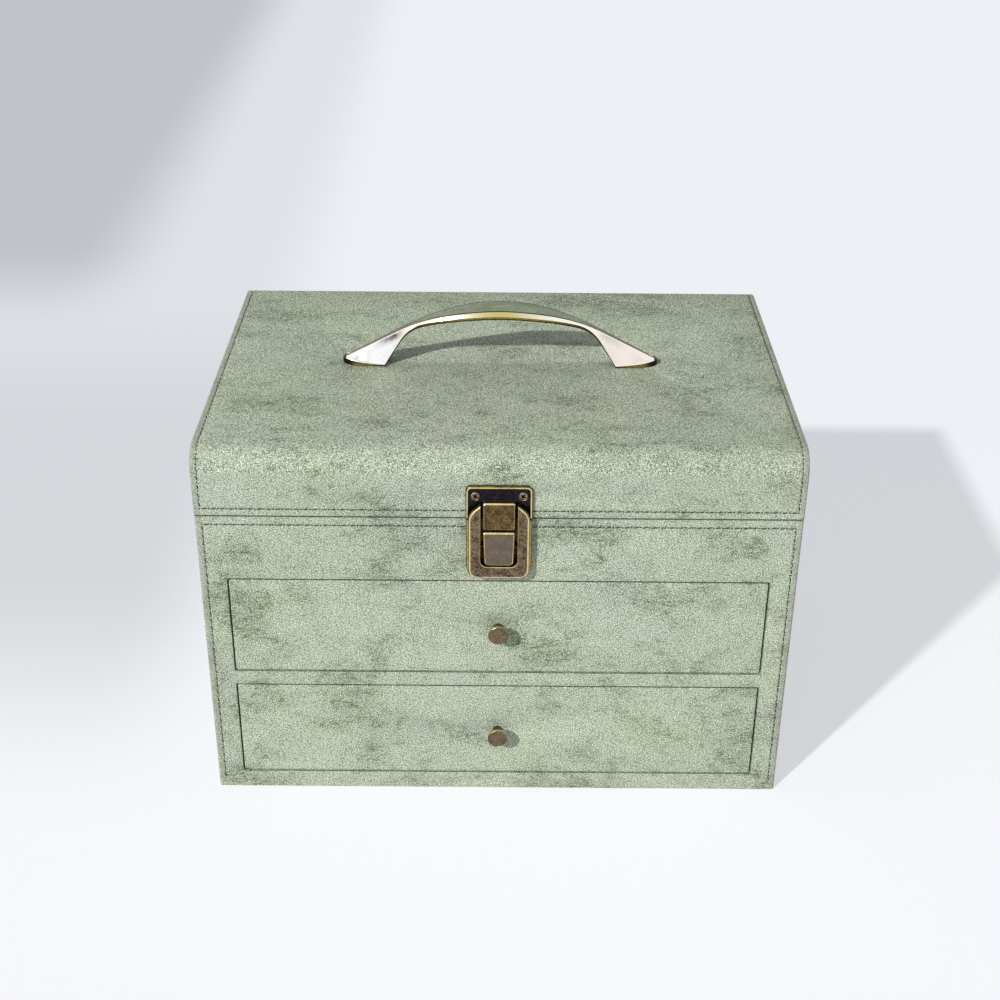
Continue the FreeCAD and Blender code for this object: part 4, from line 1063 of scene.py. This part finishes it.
def islands(node):
    """The points of each separate solid of a node, in the mesh's own order."""
    mesh = merged_copy(node)
    met = set()
    groups = []
    for start in mesh.verts:
        reached = [] if start in met else [start]
        group = []
        while reached:
            vert = reached.pop()
            if vert not in met:
                met.add(vert)
                group.append(vert.co.copy())
                reached += [edge.other_vert(vert) for edge in vert.link_edges]
        if group:
            groups.append(group)
    mesh.free()
    return groups


CROSS = ((0.2, 0.2), (0.66, 0.2), (0.66, -0.2), (0.2, -0.2), (0.2, -0.66), (-0.2, -0.66))
RECESS_STEPS = ((0.5, 0.6), (0.5, 0.0))
DOME = 0.12
DOME_RIM = 0.84
SCREW_STEPS = ((1.0 / DOME_RIM, 0.0), (1.0, -0.12), (0.42, -0.75), (1.0, -2.2))


def cross_head(radius):
    """A screw on the XY plane: a cross recess, a low dome, a conical neck and a short shank."""
    dome = DOME * radius
    mesh = bmesh.new()
    outline = list(CROSS) + [(-across, -up) for across, up in CROSS]
    corners = [mesh.verts.new((across * radius, up * radius, dome)) for across, up in outline]
    face = mesh.faces.new(corners)
    bmesh.ops.subdivide_edges(mesh, edges=face.edges, cuts=1)
    rim = list(mesh.edges)
    for depth, share in RECESS_STEPS:
        rim, points = extruded(mesh, rim)
        for vert in points:
            vert.co = Vector((vert.co.x * share, vert.co.y * share, dome - depth * radius))
    whole = [item for item in mesh.faces if len(item.verts) > 4]
    bmesh.ops.delete(mesh, geom=whole, context="FACES_ONLY")
    bmesh.ops.remove_doubles(mesh, verts=mesh.verts, dist=MERGE)
    recess = set(mesh.faces)
    top = [edge for edge in mesh.edges if edge.is_boundary]
    circle = bmesh.ops.create_circle(mesh, segments=24, radius=radius * DOME_RIM)["verts"]
    for vert in circle:
        vert.co.z = dome * 0.8
    loop = list(dict.fromkeys(edge for vert in circle for edge in vert.link_edges))
    bmesh.ops.bridge_loops(mesh, edges=top + loop)
    for spread, height in SCREW_STEPS:
        loop, points = extruded(mesh, loop)
        for vert in points:
            vert.co = Vector((vert.co.x * spread, vert.co.y * spread, height * radius))
    bmesh.ops.contextual_create(mesh, geom=loop)
    # the cross recess takes painted shade
    for face in mesh.faces:
        face.material_index = 1 if face in recess else 0
    return mesh


def make_screws(node, name, out, shrink, metal):
    """Replaces a node's plain screws by screws with a cross recess, each turned its own way."""
    mesh = bmesh.new()
    wander = random.Random(len(name))
    side = out.cross(UPWARD).normalized()
    columns = Matrix((side, UPWARD, out)).transposed().to_4x4()
    for group in reversed(islands(node)):
        front = max(point.dot(out) for point in group)
        rim = [point for point in group if point.dot(out) > front - 0.25 * MM]
        middle = sum(rim, Vector()) / len(rim)
        radius = max((point - middle).cross(out).length for point in rim) * shrink
        place = Matrix.Translation(middle + out * (front - middle.dot(out) - DOME * radius))
        head = cross_head(radius)
        turn = Matrix.Rotation(wander.uniform(0, math.pi), 4, "Z")
        bmesh.ops.transform(head, matrix=place @ columns @ turn, verts=head.verts)
        add_mesh(mesh, head)
    bmesh.ops.recalc_face_normals(mesh, faces=mesh.faces)
    stand_in(node, name, mesh, [metal, recess_dark], 30)


# Knobs

KNOB_PROFILE = (
    (0.0, 6.7),
    (3.6, 6.7),
    (4.0, 6.64),
    (4.18, 6.48),
    (4.25, 6.2),
    (4.25, 5.5),
    (4.1, 5.2),
    (2.6, 3.5),
    (2.25, 3.1),
    (2.1, 2.6),
    (2.1, 0.02),
)
KNOB_RIM = (5.5, 6.5)


def make_knob(drawer):
    """A turned knob: flat face, bright rim of rubbed brass with a painted highlight, head drawn in
    to a slim neck.
    """
    low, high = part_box(drawer + "_knob")
    centre = Vector(((low.x + high.x) / 2, high.y, (low.z + high.z) / 2))
    mesh = bmesh.new()
    points = []
    for radius, reach in KNOB_PROFILE:
        points.append(mesh.verts.new(centre + Vector((radius, -reach, 0)) * MM))
    profile = points + [mesh.edges.new(pair) for pair in zip(points, points[1:])]
    bmesh.ops.spin(
        mesh, geom=profile, cent=centre, axis=BACKWARD, angle=2 * math.pi, steps=40, use_merge=True
    )
    bmesh.ops.remove_doubles(mesh, verts=mesh.verts, dist=MERGE)
    open_edges = [edge for edge in mesh.edges if edge.is_boundary]
    bmesh.ops.contextual_create(mesh, geom=open_edges)
    bmesh.ops.recalc_face_normals(mesh, faces=mesh.faces)
    # the band at the face's rounded edge takes rubbed brass with a painted highlight
    for face in mesh.faces:
        reach = (centre.y - face.calc_center_median().y) / MM
        face.material_index = int(KNOB_RIM[0] < reach < KNOB_RIM[1])
    stand_in(drawer + "_knob", drawer + "_turned_knob", mesh, [knob_bronze, rubbed_brass_highlight], 32)


# Covered pieces

def make_covers():
    """The leatherette covers with soft edges."""
    softened("lid_wrap", "lid_cover", [lid_leather], 0.22 * MM)
    softened("lid_side_covers", "lid_cover_sides", [lid_leather], 0.2 * MM)
    softened("front_wrap", "case_front_cover", [case_leather], 0.3 * MM, segments=3)
    softened("case_wrap", "case_cover", [case_leather], 0.3 * MM, segments=3)
    softened("base_panel", "base_cover", [plain_leather], 0.35 * MM, segments=3)
    for drawer, leather in zip(DRAWERS, drawer_leathers):
        softened(drawer + "_front_cover", drawer + "_face", [leather], 0.18 * MM)


def make_linings():
    """The velvet linings and dividers, the mirror's surround and the hinge leaves."""
    lined = ["tray_dividers", "rim_liner", "compartment_lining", "lid_lining"]
    for drawer in DRAWERS:
        lined += [drawer + "_lining", drawer + "_dividers"]
    for node in lined:
        softened(node, node + "_velvet", [lining_velvet], 0.35 * MM)
    softened("mirror_frame", "mirror_surround", [plain_leather], 0.3 * MM, segments=3)
    for side in ("left", "right"):
        for part in ("case", "lid"):
            node = f"{side}_hinge_{part}_leaf"
            softened(node, node + "_rounded", [hinge_brass], 0.2 * MM)


# Ring cushions

ROLL_SHRINK = (0.985, 0.94, 0.94)
ROLL_VOXEL = 2.0 * MM
ROLL_SWELL = 0.9 * MM
ROLL_PRESSURE = 4.0
SWELL_STEPS = 20


def roll_shapes():
    """Each ring roll of the tray on its own, shrunk a little about its middle, and its box."""
    shapes = []
    for points in sorted(islands("ring_rolls"), key=lambda group: min(point.y for point in group)):
        mesh = bmesh.new()
        low = Vector(min(point[axis] for point in points) for axis in range(3))
        high = Vector(max(point[axis] for point in points) for axis in range(3))
        middle = Vector(((low.x + high.x) / 2, (low.y + high.y) / 2, low.z))
        for point in points:
            offset = point - middle
            mesh.verts.new(middle + Vector(map(operator.mul, offset, ROLL_SHRINK)))
        bmesh.ops.convex_hull(mesh, input=mesh.verts)
        shapes.append((mesh, low, high))
    return shapes


def modified(piece):
    """The mesh that a piece's modifiers make; the modifiers go."""
    depsgraph = bpy.context.evaluated_depsgraph_get()
    made = bpy.data.meshes.new_from_object(piece.evaluated_get(depsgraph))
    piece.modifiers.clear()
    return made


def swollen(mesh):
    """A roll remeshed and swollen by a short cloth simulation, no point further than ROLL_SWELL."""
    roll = add_object("roll", as_data("roll", mesh))
    remesh = roll.modifiers.new("even", "REMESH")
    remesh.mode = "VOXEL"
    remesh.voxel_size = ROLL_VOXEL
    even = modified(roll)
    roll.data = even
    cloth = roll.modifiers.new("swell", "CLOTH")
    cloth.settings.use_pressure = True
    cloth.settings.uniform_pressure_force = ROLL_PRESSURE
    cloth.settings.effector_weights.gravity = 0.0
    scene = bpy.context.scene
    for step in range(1, SWELL_STEPS + 1):
        scene.frame_set(step)
    puffed = modified(roll)
    scene.frame_set(1)
    for vert, moved in zip(even.vertices, puffed.vertices):
        shift = moved.co - vert.co
        if shift.length > ROLL_SWELL:
            shift = shift * (ROLL_SWELL / shift.length)
        vert.co = vert.co + shift
    result = bmesh.new()
    result.from_mesh(even)
    bpy.data.objects.remove(roll)
    return result


def make_ring_cushion():
    """Seven stuffed velvet rolls that rings are pushed between."""
    whole = bmesh.new()
    for mesh, low, high in roll_shapes():
        roll = swollen(mesh)
        for vert in roll.verts:
            vert.co = [min(max(vert.co[axis], low[axis]), high[axis]) for axis in range(3)]
        bmesh.ops.smooth_vert(
            roll, verts=roll.verts, factor=0.4, use_axis_x=True, use_axis_y=True, use_axis_z=True
        )
        add_mesh(whole, roll)
    piece = stand_in("ring_rolls", "ring_cushion", whole, [lining_velvet], 60)
    finer = piece.modifiers.new("finer", "SUBSURF")
    finer.levels = finer.render_levels = 1


# Stage

CAMERA_PLACE = Vector((-0.447, -641.22, 456.23)) * MM
CAMERA_YAW = math.radians(0.0768)
CAMERA_PITCH = math.radians(29.184)
CAMERA_ROLL = math.radians(0.4786)
CAMERA_LENS = 57.507
WINDOW_WAY = Vector((-0.535, -0.634, 0.559))
WINDOW_STRENGTH = 3.2
WINDOW_SPREAD = math.radians(2.2)
AMBIENT = 0.36
PAPER_GLOW = 0.55
PAPER_RADIUS = 6
PAPER_DROP = 0.05 * MM


def make_camera():
    """The camera at the photograph's place and angle."""
    lens = bpy.data.cameras.new("camera")
    lens.lens = CAMERA_LENS
    lens.sensor_width = 36
    camera = add_object("camera", lens)
    tilt = Matrix.Rotation(math.pi / 2 - CAMERA_PITCH, 4, "X")
    yaw = Matrix.Rotation(-CAMERA_YAW, 4, "Z")
    roll = Matrix.Rotation(CAMERA_ROLL, 4, "Z")
    camera.matrix_world = Matrix.Translation(CAMERA_PLACE) @ yaw @ tilt @ roll
    bpy.context.scene.camera = camera


def make_window():
    """Light from the upper left in front."""
    window = bpy.data.lights.new("window", "SUN")
    window.energy = WINDOW_STRENGTH
    window.angle = WINDOW_SPREAD
    lamp = add_object("window", window)
    lamp.location = WINDOW_WAY * 2
    lamp.rotation_mode = "QUATERNION"
    lamp.rotation_quaternion = (WINDOW_WAY * -2).to_track_quat("-Z", "Y")


def make_world():
    """A pale studio: soft light from all round, white where the camera or metal sees it."""
    finish = Finish("studio", "worlds")
    level = finish.seen() * (1 - AMBIENT) + AMBIENT
    inputs = {"Color": (0.95, 0.97, 1.0, 1.0), "Strength": level}
    light = finish.node("ShaderNodeBackground", inputs=inputs)
    bpy.context.scene.world = finish.close(light, "ShaderNodeOutputWorld")


def floor_finish():
    """White paper with painted shade, cooler and darker towards the back, painted shadows left of
    the box and in the far left corner, and part of its brightness kept for the camera.
    """
    finish = Finish("paper")
    along = finish.axis("Y")
    left = finish.axis("X")
    # painted shade: cooler and darker towards the back
    colour = finish.mix(along.ramp(-0.15, 0.35), (0.955, 0.965, 1.0, 1.0), (0.87, 0.9, 0.94, 1.0))
    # painted shadow on the paper left of the box
    painted_shadow_left = left.ramp(-0.11, -0.2) * along.ramp(-0.12, 0.1) * along.ramp(0.25, 0.5, 1.0, 0.6)
    colour = finish.mix(painted_shadow_left, colour, (0.66, 0.68, 0.71, 1.0))
    # a darker painted shadow in the far left corner
    corner = left.ramp(-0.25, -0.35) * along.ramp(0.4, 0.6)
    colour = finish.mix(corner, colour, (0.5, 0.525, 0.56, 1.0))
    lit = finish.shader(Base_Color=colour, Roughness=0.9, Specular_IOR_Level=0.1)
    whiter = finish.mix(0.15, colour, (1.0, 1.0, 1.0, 1.0))
    bright = finish.node("ShaderNodeEmission", inputs={"Color": whiter})
    share = finish.seen() * PAPER_GLOW
    return finish.close(finish.node("ShaderNodeMixShader", inputs={0: share, 1: lit, 2: bright}))


def make_floor():
    mesh = bmesh.new()
    bmesh.ops.create_circle(mesh, cap_ends=True, radius=PAPER_RADIUS, segments=96)
    bmesh.ops.translate(mesh, verts=mesh.verts, vec=(0, 0, -PAPER_DROP))
    data = as_data("floor", mesh)
    data.materials.append(floor_finish())
    add_object("floor", data)


dress_nodes()
make_covers()
lid_stitches()
case_stitches()
make_handle()
make_latch()
make_screws("latch_plate_screws", "latch_cross_screws", FORWARD, 0.84, screw_brass)
make_screws("hinge_lid_screws", "hinge_lid_cross_screws", BACKWARD, 0.96, hinge_brass)
make_screws("hinge_case_screws", "hinge_case_cross_screws", BACKWARD, 0.96, hinge_brass)
for drawer in DRAWERS:
    make_knob(drawer)
make_linings()
make_ring_cushion()
make_camera()
make_window()
make_world()
make_floor()
bpy.context.scene.view_settings.view_transform = "Standard"
